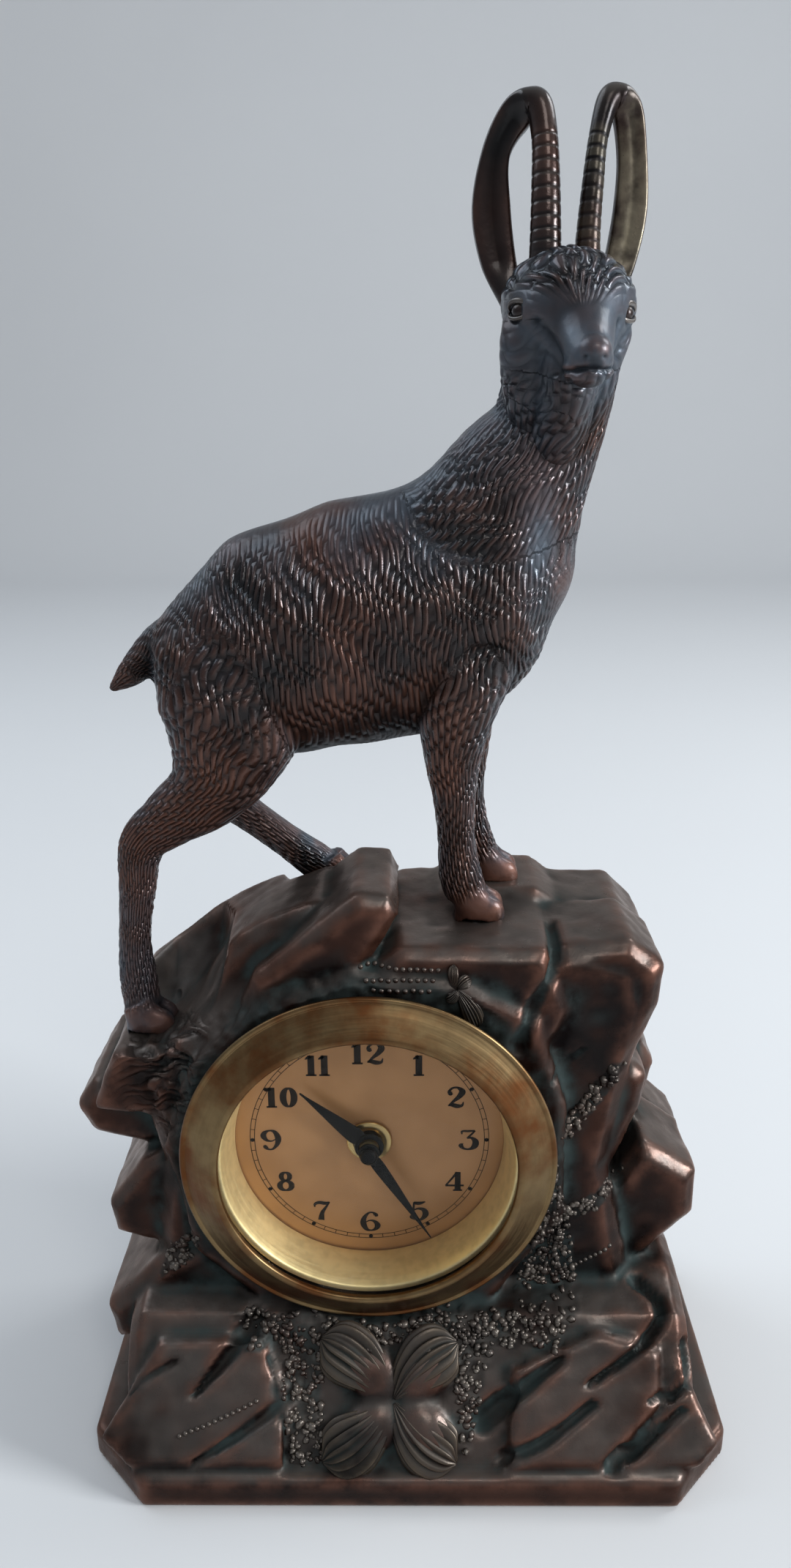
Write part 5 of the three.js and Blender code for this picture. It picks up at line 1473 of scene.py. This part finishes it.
@dataclass
class Gravel:
    """Cast grit between the slabs: small nodules of many sizes, worn on top."""

    seed: int = 11
    per_area: float = 0.85
    sizes: tuple[float, float] = (0.4, 1.05)
    lumpiness: float = 0.18
    sunk: float = 0.15
    patches: tuple[tuple[tuple[float, float], ...], ...] = (
        ((-30.7, 34), (-20.4, 34), (-19.9, 9.2), (-27.5, 9.2)),
        ((9.7, 34), (20, 34), (15.4, 17), (12.2, 9.3)),
        ((-24, 36.5), (40, 36.5), (34, 30), (-18, 31)),
        ((31.2, 87.2), (34.5, 70), (38.7, 50.5), (40, 36.4), (24.8, 36), (29, 51)),
        ((46, 98), (50, 97), (37.6, 79), (33.6, 79.8)),
        ((50, 66.5), (52, 63.5), (39.5, 56), (36, 58.5)),
        ((-57.5, 47.6), (-49, 55), (-50, 47), (-60, 40)),
        ((-42, 36), (-26, 36), (-30, 31), (-38, 31)),
    )

    def build(self, ground: BVHTree) -> None:
        """Scatter the nodules and press them into the rock.

        Args:
            ground: The rock that they lie on.
        """
        draw = np.random.default_rng(self.seed)
        places = []
        for corners in self.patches:
            patch = np.array(corners)
            low, high = patch.min(0), patch.max(0)
            count = int(np.prod(high - low) * self.per_area)
            tries = draw.uniform(low, high, (count, 2))
            places.append(tries[inside(tries, patch)])
        middles, normals = drop(ground, np.concatenate(places))
        ball = egg((0, 0, 0), (1, 1, 1), 6, 4)
        count = len(middles)
        size = draw.uniform(*self.sizes, (count, 1)) * draw.uniform(0.7, 1.3, (count, 3))
        turn = np.linalg.qr(draw.normal(size=(count, 3, 3)))[0]
        turn *= np.sign(np.linalg.det(turn))[:, None, None]
        lumps = draw.normal(size=(count, len(ball.points), 1)).clip(-1.5, 1.5)
        lumpy = ball.points * (1 + self.lumpiness * lumps)
        grains = np.einsum("nij,nkj->nki", turn, lumpy * size[:, None, :])
        points = middles[:, None, :] - self.sunk * normals[:, None, :] + grains
        proud = np.einsum("nki,ni->nk", grains, normals) / size.mean(1, keepdims=True)
        starts = np.arange(count)[:, None, None] * len(ball.points)
        quads, triangles = (ball.quads + starts).reshape(-1, 4), (ball.triangles + starts).reshape(-1, 3)
        surface = Surface(points.reshape(-1, 3), quads, triangles)
        paints = clipped(wear=proud * 1.3 - 0.25, dirt=0.3 - proud)
        show(painted_mesh(surface, "grit", **paints), Finish.GRIT)


@dataclass
class Beading:
    """Small raised dots: two beaded lines on the slabs and a stippled field above the dial."""

    radius: float = 0.62
    sunk: float = 0.1
    wear: float = 0.35
    lines: tuple[tuple[tuple[float, float], tuple[float, float], int], ...] = (
        ((-35.1, 22.1), (-52.5, 16), 14),
        ((35.5, 39.6), (48.1, 47.4), 12),
        ((-10.2, 123.6), (6.6, 123.2), 12),
        ((-9.0, 121.4), (5.4, 121.2), 10),
        ((-7.4, 119.4), (4.6, 119.2), 8),
    )

    def build(self, ground: BVHTree) -> None:
        """Seat the dots on the rock.

        Args:
            ground: The rock that they lie on.
        """
        places = np.concatenate([np.linspace(start, end, count) for start, end, count in self.lines])
        middles, normals = drop(ground, places)
        sizes = (self.radius,) * 3
        dots = Surface.join(egg(at - self.sunk * out, sizes, 10, 6) for at, out in zip(middles, normals))
        plain = np.zeros(len(dots.points))
        show(painted_mesh(dots, "beaded_dots", wear=plain + self.wear, dirt=plain), Finish.GRIT)


@dataclass
class Foliage:
    """The four-leaf ornament below the dial and the sprig above it."""

    middle: Point = (-4, -34.6, 21)
    slope: Point = (0, 0.541, 0.841)
    tips: tuple[tuple[float, float], ...] = ((-16.5, 13.2), (15.2, 12.4), (-15.8, -12.6), (14.6, -12.8))
    sprig: tuple[tuple[float, float], ...] = (
        (10, 124.5), (10.6, 119.6), (12.4, 114.5), (15.1, 110.3), (8.4, 117.2), (13.4, 121),
    )
    sprig_leaves: tuple[tuple[int, int, float], ...] = ((1, 3, 2.3), (1, 4, 1.3), (1, 5, 1.6), (1, 0, 1.2))
    shares: tuple[float, ...] = (0, 0.12, 0.35, 0.62, 0.86, 1.0)
    swells: tuple[float, ...] = (0.07, 0.36, 0.76, 1.0, 0.84, 0.12)
    leaf_width: float = 7.0
    leaf_height: float = 2.0
    leaf_bend: float = 1.6
    sprig_height: float = 1.3
    sprig_bend: float = 0.5
    veins: float = 3.0
    vein_depth: float = 0.42
    around: int = 72

    def leaf(
        self, base: Array, tip: Array, out: Array, width: float, height: float, bend: float
    ) -> tuple[Surface, Array]:
        """One leaf: ovals along a bent line from base to tip, grooved lengthwise on the outer side.

        A groove lies where cos(2 pi veins v) is greatest, v being the share of the half width, so the grooves
        meet at both ends.

        Args:
            base: Where the leaf starts.
            tip: Where it ends.
            out: The direction it faces.
            width: Half width.
            height: Half thickness.
            bend: How far its middle line bows sideways.

        Returns:
            The leaf, and how deep each of its points lies in a groove.
        """
        side = unit(np.cross(out, tip - base))
        share, swell = np.array(self.shares), np.array(self.swells)
        line = base + share[:, None] * (tip - base) + bend * np.sin(np.pi * share)[:, None] * side
        line = line + out * (0.35 * height * np.sin(np.pi * share))[:, None]
        girth = np.stack([width * swell, height * (0.35 + 0.65 * swell)], axis=1)
        rows = np.concatenate([line, girth], axis=1)
        spine = Spine.through(rows, side, 10)
        angle = ring_angles(self.around)
        facing = (spine.across @ out)[:, None] * np.cos(angle) + (spine.deep @ out)[:, None] * np.sin(angle)
        groove = (0.5 + 0.5 * np.cos(2 * np.pi * self.veins * np.cos(angle))) ** 2 * np.clip(facing * 3, 0, 1)
        surface = loft(spine, self.around, -self.vein_depth * groove)
        return surface, np.append(groove.ravel(), [0, 0])

    def build(self, ground: BVHTree) -> None:
        """Make the ornament and the sprig.

        Args:
            ground: The rock that they lie on.
        """
        middle, up = np.array(self.middle), np.array(self.slope)
        out = np.array((0, -up[2], up[1]))
        leaves = []
        for x, y in self.tips:
            tip = middle + x * np.array((1.0, 0, 0)) + y * up
            base, bend = middle + 0.04 * (tip - middle), self.leaf_bend * np.sign(x * y)
            leaves.append(self.leaf(base, tip, out, self.leaf_width, self.leaf_height, bend))
        ends, _ = drop(ground, self.sprig)
        front = np.array((0, -1.0, 0.0))
        for start, stop, width in self.sprig_leaves:
            sizes = (width, self.sprig_height, self.sprig_bend)
            leaves.append(self.leaf(ends[start], ends[stop], front, *sizes))
        surface = Surface.join(made for made, _ in leaves)
        groove = np.concatenate([depths for _, depths in leaves])
        wear = np.clip(0.7 - 1.4 * groove, 0, 1)
        show(painted_mesh(surface, "leaf_ornament", wear=wear, dirt=groove), Finish.LEAF)


# The clock


def show_in_clock(
    surface: Surface, name: str, finish: Finish, body: str = CLOCK_BODY, stands_for: Sequence[str] = ()
) -> None:
    """Carry a surface from the clock's own frame into the object's, and show it as a piece.

    The clock's frame starts at the middle of the dial's front face, with x to the right, y up and z to the
    viewer.

    Args:
        surface: The surface in the clock's frame.
        name: The piece's name.
        finish: What it is made of.
        body: The moving body that it rides on.
        stands_for: Nodes of the frame that it replaces.
    """
    low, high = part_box("bezel")
    middle = (low + high) / 2
    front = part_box("dial")[0].y
    placed = surface.moved(UPRIGHT, np.array((middle.x, front, middle.z)) / MM)
    show(placed.mesh(name), finish, body, stands_for)


def about_z(degrees: float) -> Array:
    """The matrix that turns clockwise, seen from the front."""
    a = math.radians(-degrees)
    return np.array(((math.cos(a), -math.sin(a), 0), (math.sin(a), math.cos(a), 0), (0, 0, 1)))


@dataclass
class Case:
    """The front of the case: rolled bezel, domed glass and the deep ring between them and the dial."""

    bezel: tuple[tuple[float, float], ...] = (
        (40.6, 6.5), (41.9, 8.2), (42.35, 8.7), (42.4, 9.3), (42.05, 9.75), (41.5, 9.8), (41.1, 9.6),
        (39.2, 10.9), (37.2, 12.1), (35.5, 13.1), (34.7, 13.55), (33.95, 13.7), (33.4, 13.45), (33.2, 12.95),
        (33.2, 12.3), (34.9, 12.3), (34.9, 10.2), (35.3, 10.2), (35.3, 2), (36.4, 2), (36.4, 10.4),
        (39.8, 7.7), (39.8, 6.5),
    )
    ring: tuple[tuple[float, float], ...] = (
        (34.5, 9.2), (34.5, 10.1), (33.4, 10.1), (33.05, 9.9), (32.75, 9.2), (32.4, 8.2), (31.9, 6.2),
        (31.45, 4), (31.15, 2), (31, 0.3), (31.6, 0.3), (32.3, 5), (33.2, 8.5),
    )
    glass_radius: float = 34.5
    glass_back: float = 10.4
    glass_edge: float = 12.0
    glass_rise: float = 1.0

    def build(self) -> None:
        """Turn the bezel, the deep ring and the glass."""
        bezel = lathe(self.bezel, 0.22, closed=True, around=192)
        show_in_clock(bezel, "rolled_bezel", Finish.BEZEL, stands_for=["bezel"])
        ring = lathe(self.ring, 0.3, closed=True, around=192)
        show_in_clock(ring, "deep_ring", Finish.GILT, stands_for=["reflector_ring"])
        share = np.linspace(1, 0, 20)
        height = self.glass_edge + self.glass_rise * (1 - share**2)
        dome = np.stack([self.glass_radius * share, height], axis=1)
        foot = [(0, self.glass_back), (self.glass_radius, self.glass_back)]
        glass = turned(np.concatenate([foot, dome]), closed=False, around=128)
        show_in_clock(glass, "domed_glass", Finish.GLASS, stands_for=["glass"])


Stroke = tuple[tuple[float, float, float], ...]


@dataclass
class Dial:
    """The dial: a painted disc with its eyelet, bold serif hour figures and a minute track."""

    radius: float = 33.9
    thickness: float = 0.8
    eyelet_bore: float = 3.0
    eyelet_radius: float = 4.4
    figure_circle: float = 22.9
    figure_height: float = 5.4
    figure_stretch: float = 1.12
    figure_weight: float = 1.22
    hairline: float = 0.075
    narrow: float = 0.5
    broad: float = 0.8
    dot: tuple[tuple[float, float], ...] = ((-0.52, 0.1), (-0.35, 0.8), (0, 1.05), (0.35, 0.8), (0.52, 0.1))
    track: tuple[float, float] = (26.6, 27.6)
    line: float = 0.16
    print_height: float = 0.04
    strokes: dict[str, tuple[Stroke, ...]] = field(default_factory=lambda: {
        "1": (
            ((0, 0.02, 0.21), (0, 0.98, 0.21)), ((-0.2, 0.035, 0.07), (0.2, 0.035, 0.07)),
            ((-0.22, 0.8, 0.03), (-0.13, 0.86, 0.1), (0, 0.93, 0.14)),
        ),
        "2": (
            ((-0.1, 0.66, 0.02), (-0.18, 0.68, 0.17), (-0.24, 0.8, 0.1), (-0.1, 0.96, 0.08), (0.1, 0.96, 0.1),
             (0.25, 0.78, 0.21), (0.14, 0.54, 0.17), (-0.08, 0.3, 0.1), (-0.27, 0.07, 0.05)),
            ((-0.28, 0.1, 0.05), (-0.14, 0.13, 0.15), (0.06, 0.07, 0.17), (0.24, 0.1, 0.1),
             (0.3, 0.28, 0.03)),
        ),
        "3": (
            ((-0.25, 0.78, 0.04), (-0.24, 0.93, 0.08), (0, 0.94, 0.09), (0.25, 0.96, 0.07)),
            ((0.25, 0.96, 0.06), (0.1, 0.76, 0.07), (-0.05, 0.58, 0.07)),
            ((-0.05, 0.58, 0.05), (0.12, 0.6, 0.1), (0.27, 0.42, 0.2), (0.24, 0.18, 0.2), (0.04, 0.03, 0.09),
             (-0.18, 0.07, 0.09), (-0.28, 0.22, 0.16), (-0.2, 0.32, 0.02)),
        ),
        "4": (
            ((0.12, 0.02, 0.2), (0.12, 0.98, 0.18)),
            ((0.1, 0.97, 0.1), (-0.12, 0.62, 0.07), (-0.34, 0.29, 0.06)),
            ((-0.36, 0.28, 0.08), (0, 0.28, 0.08), (0.36, 0.28, 0.08)),
            ((-0.06, 0.035, 0.07), (0.3, 0.035, 0.07)),
        ),
        "5": (
            ((-0.2, 0.92, 0.12), (0.02, 0.9, 0.14), (0.25, 0.98, 0.05)),
            ((-0.19, 0.95, 0.07), (-0.2, 0.75, 0.07), (-0.21, 0.53, 0.06)),
            ((-0.21, 0.53, 0.05), (-0.02, 0.62, 0.09), (0.2, 0.54, 0.17), (0.26, 0.3, 0.2), (0.08, 0.04, 0.1),
             (-0.16, 0.06, 0.08), (-0.27, 0.19, 0.16), (-0.2, 0.28, 0.02)),
        ),
        "6": (
            ((0.17, 0.76, 0.02), (0.21, 0.84, 0.15), (0.1, 0.97, 0.08), (-0.08, 0.95, 0.08),
             (-0.25, 0.7, 0.15), (-0.29, 0.4, 0.2), (-0.17, 0.1, 0.14), (0.02, 0.03, 0.07),
             (0.2, 0.12, 0.14), (0.27, 0.3, 0.19), (0.16, 0.5, 0.12), (-0.02, 0.56, 0.06),
             (-0.18, 0.48, 0.04)),
        ),
        "7": (
            ((-0.29, 0.7, 0.04), (-0.27, 0.86, 0.1), (-0.1, 0.94, 0.14), (0.12, 0.9, 0.14),
             (0.3, 0.96, 0.06)),
            ((0.29, 0.96, 0.05), (0.14, 0.68, 0.09), (0, 0.4, 0.14), (-0.05, 0.02, 0.21)),
        ),
    })
    loops: dict[str, tuple[tuple[float, float, float, float], ...]] = field(default_factory=lambda: {
        "8": ((0.745, 0.165, 0.2, 0.09), (0.27, 0.23, 0.235, 0.11)),
        "0": ((0.5, 0.21, 0.44, 0.14),),
    })

    def ribbon(self, path: Array) -> Surface:
        """A flat stripe: each point of the path moved sideways by half the path's width there, both ways."""
        along = unit(np.gradient(path[:, :2], axis=0))
        side = np.stack([-along[:, 1], along[:, 0]], axis=1) * path[:, 2:] / 2
        flat = np.stack([path[:, :2] + side, path[:, :2] - side], axis=1).reshape(-1, 2)
        points = np.concatenate([flat, np.full((len(flat), 1), self.print_height)], axis=1)
        return Surface(points, grid_quads(len(path), 2, closed_columns=False))

    def figure(self, sign: str) -> Surface:
        """One figure of height 1, its foot on the line."""
        if sign == "9":
            six = self.figure("6")
            return Surface(six.points * (-1, -1, 1) + (0, 1, 0), six.quads)
        weight = np.array((1, 1, self.figure_weight))
        stripes = [self.ribbon(smooth_curve(stroke, 8) * weight) for stroke in self.strokes.get(sign, ())]
        angle = np.linspace(0, 2 * np.pi, 41)
        for height, wide, tall, swell in self.loops.get(sign, ()):
            width = (self.hairline + swell * np.abs(np.cos(angle))) * self.figure_weight
            path = np.stack([wide * np.cos(angle), height + tall * np.sin(angle), width], axis=1)
            stripes.append(self.ribbon(path))
        return Surface.join(stripes)

    def figures(self) -> Surface:
        """The hours 1 to 12, upright on their circle."""
        parts = []
        for hour in range(1, 13):
            signs = str(hour)
            widths = [self.narrow if sign == "1" else self.broad for sign in signs]
            middles = np.cumsum(widths) - np.array(widths) / 2 - sum(widths) / 2
            angle = math.radians(30 * hour)
            place = (self.figure_circle * math.sin(angle), self.figure_circle * math.cos(angle), 0)
            for sign, middle in zip(signs, middles):
                drawn = self.figure(sign)
                scale = self.figure_height * np.array((self.figure_stretch, 1, 0))
                points = (drawn.points + (middle, -0.5, 0)) * scale + place + (0, 0, self.print_height)
                parts.append(Surface(points, drawn.quads))
        return Surface.join(parts)

    def minute_track(self) -> Surface:
        """Two thin circles with sixty ticks between them and a dot at each hour."""
        angle = np.linspace(0, 2 * np.pi, 181)
        offsets, widths = np.array(self.dot).T
        parts = [
            self.ribbon(np.stack([r * np.cos(angle), r * np.sin(angle), 0 * angle + self.line], axis=1))
            for r in self.track
        ]
        for minute in range(60):
            a = math.radians(6 * minute)
            ends = np.array([[r * math.sin(a), r * math.cos(a), self.line] for r in self.track])
            parts.append(self.ribbon(ends))
            if minute % 5 == 0:
                middle = sum(self.track) / 2 * np.array((math.sin(a), math.cos(a)))
                row = np.stack([middle[0] + offsets, 0 * offsets + middle[1], widths], axis=1)
                parts.append(self.ribbon(row))
        return Surface.join(parts)

    def build(self) -> None:
        """Make the disc, its print and the eyelet."""
        bore = self.eyelet_radius + 0.3
        disc = [(bore, -self.thickness), (self.radius, -self.thickness), (self.radius, 0), (bore, 0)]
        plate = lathe(disc, 0.12, closed=True, around=160)
        show_in_clock(plate, "painted_dial", Finish.DIAL, stands_for=["dial"])
        print_ = Surface.join([self.figures(), self.minute_track()])
        show_in_clock(print_, "dial_figures", Finish.INK)
        r = self.eyelet_radius
        lip = [
            (self.eyelet_bore, -self.thickness), (r, -self.thickness), (r, 0.3), (r + 0.9, 0.3),
            (r + 0.7, 0.9), (r - 0.3, 1.05), (self.eyelet_bore, 0.7),
        ]
        eyelet = lathe(lip, 0.25, closed=True, around=64)
        show_in_clock(eyelet, "rolled_eyelet", Finish.BRASS, stands_for=["dial_eyelet"])


@dataclass
class Hand:
    """A black tapered hand with a domed blade and a round boss, pointing at the time that the frame shows."""

    name: str
    node: str
    length: float
    width: float
    boss: float
    bore: float
    back: float
    clockwise: float
    blade_height: float = 0.3
    shares: tuple[float, ...] = (-0.02, 0.08, 0.3, 0.6, 0.9, 0.985, 1.0)
    swells: tuple[float, ...] = (0.7, 1.0, 0.86, 0.52, 0.17, 0.12, 0.05)

    def build(self) -> None:
        """Carry a flat oval up the blade and turn the boss."""
        share, swell = np.array(self.shares), np.array(self.swells)
        start = self.bore + 0.2
        rows = np.stack([
            0 * share, start + share * (self.length - start), 0 * share + self.back + self.blade_height,
            swell * self.width / 2, self.blade_height * (0.45 + 0.55 * swell),
        ], axis=1)
        blade = loft(Spine.through(rows, SIDEWAYS, 8), 20)
        back = self.back
        ring = [(self.bore, back), (self.boss, back), (self.boss, back + 0.75), (self.bore, back + 1)]
        boss = lathe(ring, 0.25, closed=True, around=48)
        hand = Surface.join([blade, boss]).moved(about_z(self.clockwise), (0, 0, 0))
        show_in_clock(hand, self.name, Finish.BLACK, self.node, [self.node])


@dataclass
class HandNut:
    """The domed nut that holds the hands."""

    profile: tuple[tuple[float, float], ...] = (
        (0, 6.7), (1.3, 6.7), (1.3, 5.9), (2, 5.9), (2.05, 6.5), (1.7, 7.15), (0.9, 7.5), (0, 7.6),
    )

    def build(self) -> None:
        """Turn the nut."""
        nut = lathe(self.profile, 0.2, closed=False, around=48)
        show_in_clock(nut, "domed_nut", Finish.BLACK, "minute_hand", ["hand_nut"])


@dataclass
class Rear:
    """What shows at the back: the cover, the ribbed setting knob and the wing key."""

    cover_radius: float = 40.5
    cover_front: float = -38.3
    cover_back: float = -39.5
    knob_radius: float = 5.0
    knob_front: float = -40.7
    knob_length: float = 6.0
    knob_neck: float = 2.6
    ribs: int = 24
    rib_share: float = 0.04
    key_place: tuple[float, float] = (-13.64, -7.875)
    key_front: float = -40.7
    key_length: float = 8.0
    socket_radius: float = 3.2
    ear_radius: float = 4.8
    ear_bore: float = 1.8
    ear_offset: float = 4.7

    def cover(self) -> Surface:
        """The back cover: a disc with a rounded rim and two pressed rings."""
        r, front, back = self.cover_radius, self.cover_front, self.cover_back
        profile = [
            (0, back), (r * 0.42, back), (r * 0.44, back + 0.25), (r * 0.47, back + 0.25), (r * 0.49, back),
            (r * 0.8, back), (r * 0.82, back - 0.3), (r * 0.86, back - 0.3), (r * 0.88, back), (r - 1, back),
            (r, back + 0.5), (r, front), (0, front),
        ]
        return lathe(profile, 0.5, closed=False, around=160)

    def knob(self) -> Surface:
        """The knob: a turned profile whose rim is ribbed by a cosine of the angle."""
        r, front, back = self.knob_radius, self.knob_front, self.knob_front - self.knob_length
        neck = self.knob_neck
        profile = [
            (0, back), (r - 0.2, back), (r, back + 0.5), (r, front - 2), (neck, front - 2), (neck, front),
            (0, front),
        ]
        knob = lathe(profile, 0.35, closed=False, around=self.ribs * 8)
        angle = np.arctan2(knob.points[:, 1], knob.points[:, 0])
        far = np.hypot(knob.points[:, 0], knob.points[:, 1]) > r * 0.85
        knob.points[:, :2] *= np.where(far, 1 + self.rib_share * (np.cos(self.ribs * angle) - 1), 1)[:, None]
        return knob

    def key(self) -> Surface:
        """The key: a socket and two pierced ears that stand edge on to it."""
        r, front, back = self.socket_radius, self.key_front, self.key_front - self.key_length
        socket = [(0, back), (r, back), (r, front), (0, front)]
        parts = [lathe(socket, 0.6, closed=False, around=48)]
        ring = [(self.ear_bore, -1), (self.ear_radius, -1), (self.ear_radius, 1), (self.ear_bore, 1)]
        ear = lathe(ring, 0.7, closed=True, around=56)
        parts += [ear.moved(UPRIGHT, (side * self.ear_offset, 0, back - 0.8)) for side in (-1, 1)]
        return Surface.join(parts).moved(np.eye(3), (*self.key_place, 0))

    def build(self) -> None:
        """Make the three pieces."""
        show_in_clock(self.cover(), "pressed_back_cover", Finish.TIN, stands_for=["back_cover"])
        show_in_clock(self.knob(), "ribbed_knob", Finish.BRASS, "minute_hand", ["setting_knob"])
        show_in_clock(self.key(), "wing_key", Finish.BRASS, "winding_key", ["winding_key"])


# The studio


@dataclass(frozen=True)
class Viewpoint:
    """The photograph's camera: place in millimetres, angles in degrees and focal length in pixels."""

    place: Point = (0, -242, 242)
    pitch: float = 18.8
    yaw: float = -0.6
    roll: float = -0.4
    focal: float = 1583
    image: tuple[int, int] = (1080, 2142)

    def build(self) -> None:
        """Make the camera and use it."""
        pitch, yaw, roll = (math.radians(a) for a in (self.pitch, self.yaw, self.roll))
        ahead = Vector((math.sin(yaw) * math.cos(pitch), math.cos(yaw) * math.cos(pitch), -math.sin(pitch)))
        level = Vector((math.cos(yaw), -math.sin(yaw), 0))
        above = level.cross(ahead)
        right = level * math.cos(roll) + above * math.sin(roll)
        up = above * math.cos(roll) - level * math.sin(roll)
        data = bpy.data.cameras.new("camera")
        data.sensor_fit = "VERTICAL"
        data.sensor_height = 36
        data.lens = data.sensor_height * self.focal / self.image[1]
        data.clip_start = 0.01
        camera = bpy.data.objects.new("camera", data)
        turn = Matrix((right, up, -ahead)).transposed().to_4x4()
        camera.matrix_world = Matrix.Translation(Vector(self.place) * MM) @ turn
        bpy.context.scene.collection.objects.link(camera)
        bpy.context.scene.camera = camera


@dataclass(frozen=True)
class Lamp:
    """A square soft lamp that looks at the middle of the object, with its place and size in metres."""

    name: str
    place: Point
    size: float
    power: float
    colour: Colour
    target: Point = (0, 0, 0.14)

    def build(self) -> None:
        """Make the lamp."""
        data = bpy.data.lights.new(self.name, "AREA")
        data.shape = "SQUARE"
        data.size = self.size
        data.energy = self.power
        data.color = self.colour
        lamp = bpy.data.objects.new(self.name, data)
        aim = Vector(self.target) - Vector(self.place)
        turn = aim.to_track_quat("-Z", "Y").to_matrix().to_4x4()
        lamp.matrix_world = Matrix.Translation(self.place) @ turn
        bpy.context.scene.collection.objects.link(lamp)


@dataclass(frozen=True)
class Studio:
    """A pale floor that curves up into a backdrop, soft lamps and an even sky, with sizes in metres."""

    floor_colour: Colour = (0.76, 0.765, 0.77)
    floor_shade: Colour = (0.72, 0.725, 0.735)
    sky: Colour = (0.72, 0.77, 0.84)
    sky_strength: float = 0.42
    half_width: float = 2.2
    front: float = -1.6
    back: float = 1.3
    curve: float = 0.7
    height: float = 2.4
    lamps: tuple[Lamp, ...] = (
        Lamp("right_window", (1.6, -0.55, 0.66), 0.55, 31, (0.93, 0.97, 1.0)),
        Lamp("right_sky", (0.8, 0.35, 0.9), 0.4, 3.2, (0.93, 0.97, 1.0)),
        Lamp("left_sky", (-0.75, 0.3, 1.05), 0.8, 4.5, (0.8, 0.9, 1.0)),
        Lamp("front", (0.35, -1.0, 1.15), 0.5, 3.6, (1.0, 0.98, 0.95)),
    )

    def floor(self) -> None:
        """A floor and backdrop: a straight run, a quarter circle and an upright, carried across the width."""
        angle = np.linspace(0, np.pi / 2, 24)
        bend = np.stack([self.back + self.curve * np.sin(angle), self.curve * (1 - np.cos(angle))], axis=1)
        profile = np.concatenate([[(self.front, 0)], bend, [(self.back + self.curve, self.height)]])
        wide = np.array([-self.half_width, self.half_width])
        points = np.column_stack([np.tile(wide, len(profile)), np.repeat(profile, 2, axis=0)])
        mesh = Surface(points / MM, grid_quads(len(profile), 2, closed_columns=False)).mesh("floor")
        sheet = Sheet("pale_floor")
        tone = sheet.span(sheet.noise(sheet.place(), 3, 2), 0.3, 0.7, 0.0, 0.25)
        colour = sheet.blend(tone, self.floor_colour, self.floor_shade)
        sheet.set(Base_Color=colour, Roughness=0.9, Specular_IOR_Level=0.1)
        mesh.materials.append(sheet.material)
        floor = bpy.data.objects.new("floor", mesh)
        bpy.context.scene.collection.objects.link(floor)

    def build(self) -> None:
        """Make the floor, the lamps and the sky."""
        self.floor()
        for lamp in self.lamps:
            lamp.build()
        world = bpy.data.worlds.new("sky")
        world.use_nodes = True
        background = world.node_tree.nodes["Background"]
        background.inputs["Color"].default_value = (*self.sky, 1)
        background.inputs["Strength"].default_value = self.sky_strength
        bpy.context.scene.world = world
        bpy.context.scene.view_settings.view_transform = "Standard"


def main() -> None:
    """Give the frame's nodes their finishes, build the clock piece by piece, then the studio."""
    logging.basicConfig(level=logging.INFO, format="%(name)s %(message)s")
    slots = {part["node"]: part["material_slot"] for part in frame["record"]["subparts"]}
    by_slot = {finish.value[0]: finish for finish in reversed(Finish)} | {"brass": Finish.BRASS}
    for name, node in frame["nodes"].items():
        node.data.materials.clear()
        node.data.materials.append(by_slot[slots[name]].material())
    Chamois().build()
    Horn("left_horn_and_ear", "left_horn", LEFT_LOOP).build()
    Horn("right_horn_and_ear", "right_horn", RIGHT_LOOP, bared=1.1, finish=Finish.WORN_EAR).build()
    Rock().build()
    Case().build()
    Dial().build()
    Hand("tapered_hour_hand", "hour_hand", 21, 4.2, 3.4, 2.3, 2.2, 312.4).build()
    Hand("tapered_minute_hand", "minute_hand", 27.4, 3.0, 2.4, 1.3, 4.6, 148.8).build()
    HandNut().build()
    Rear().build()
    Viewpoint().build()
    Studio().build()


if __name__ == "__main__":
    main()
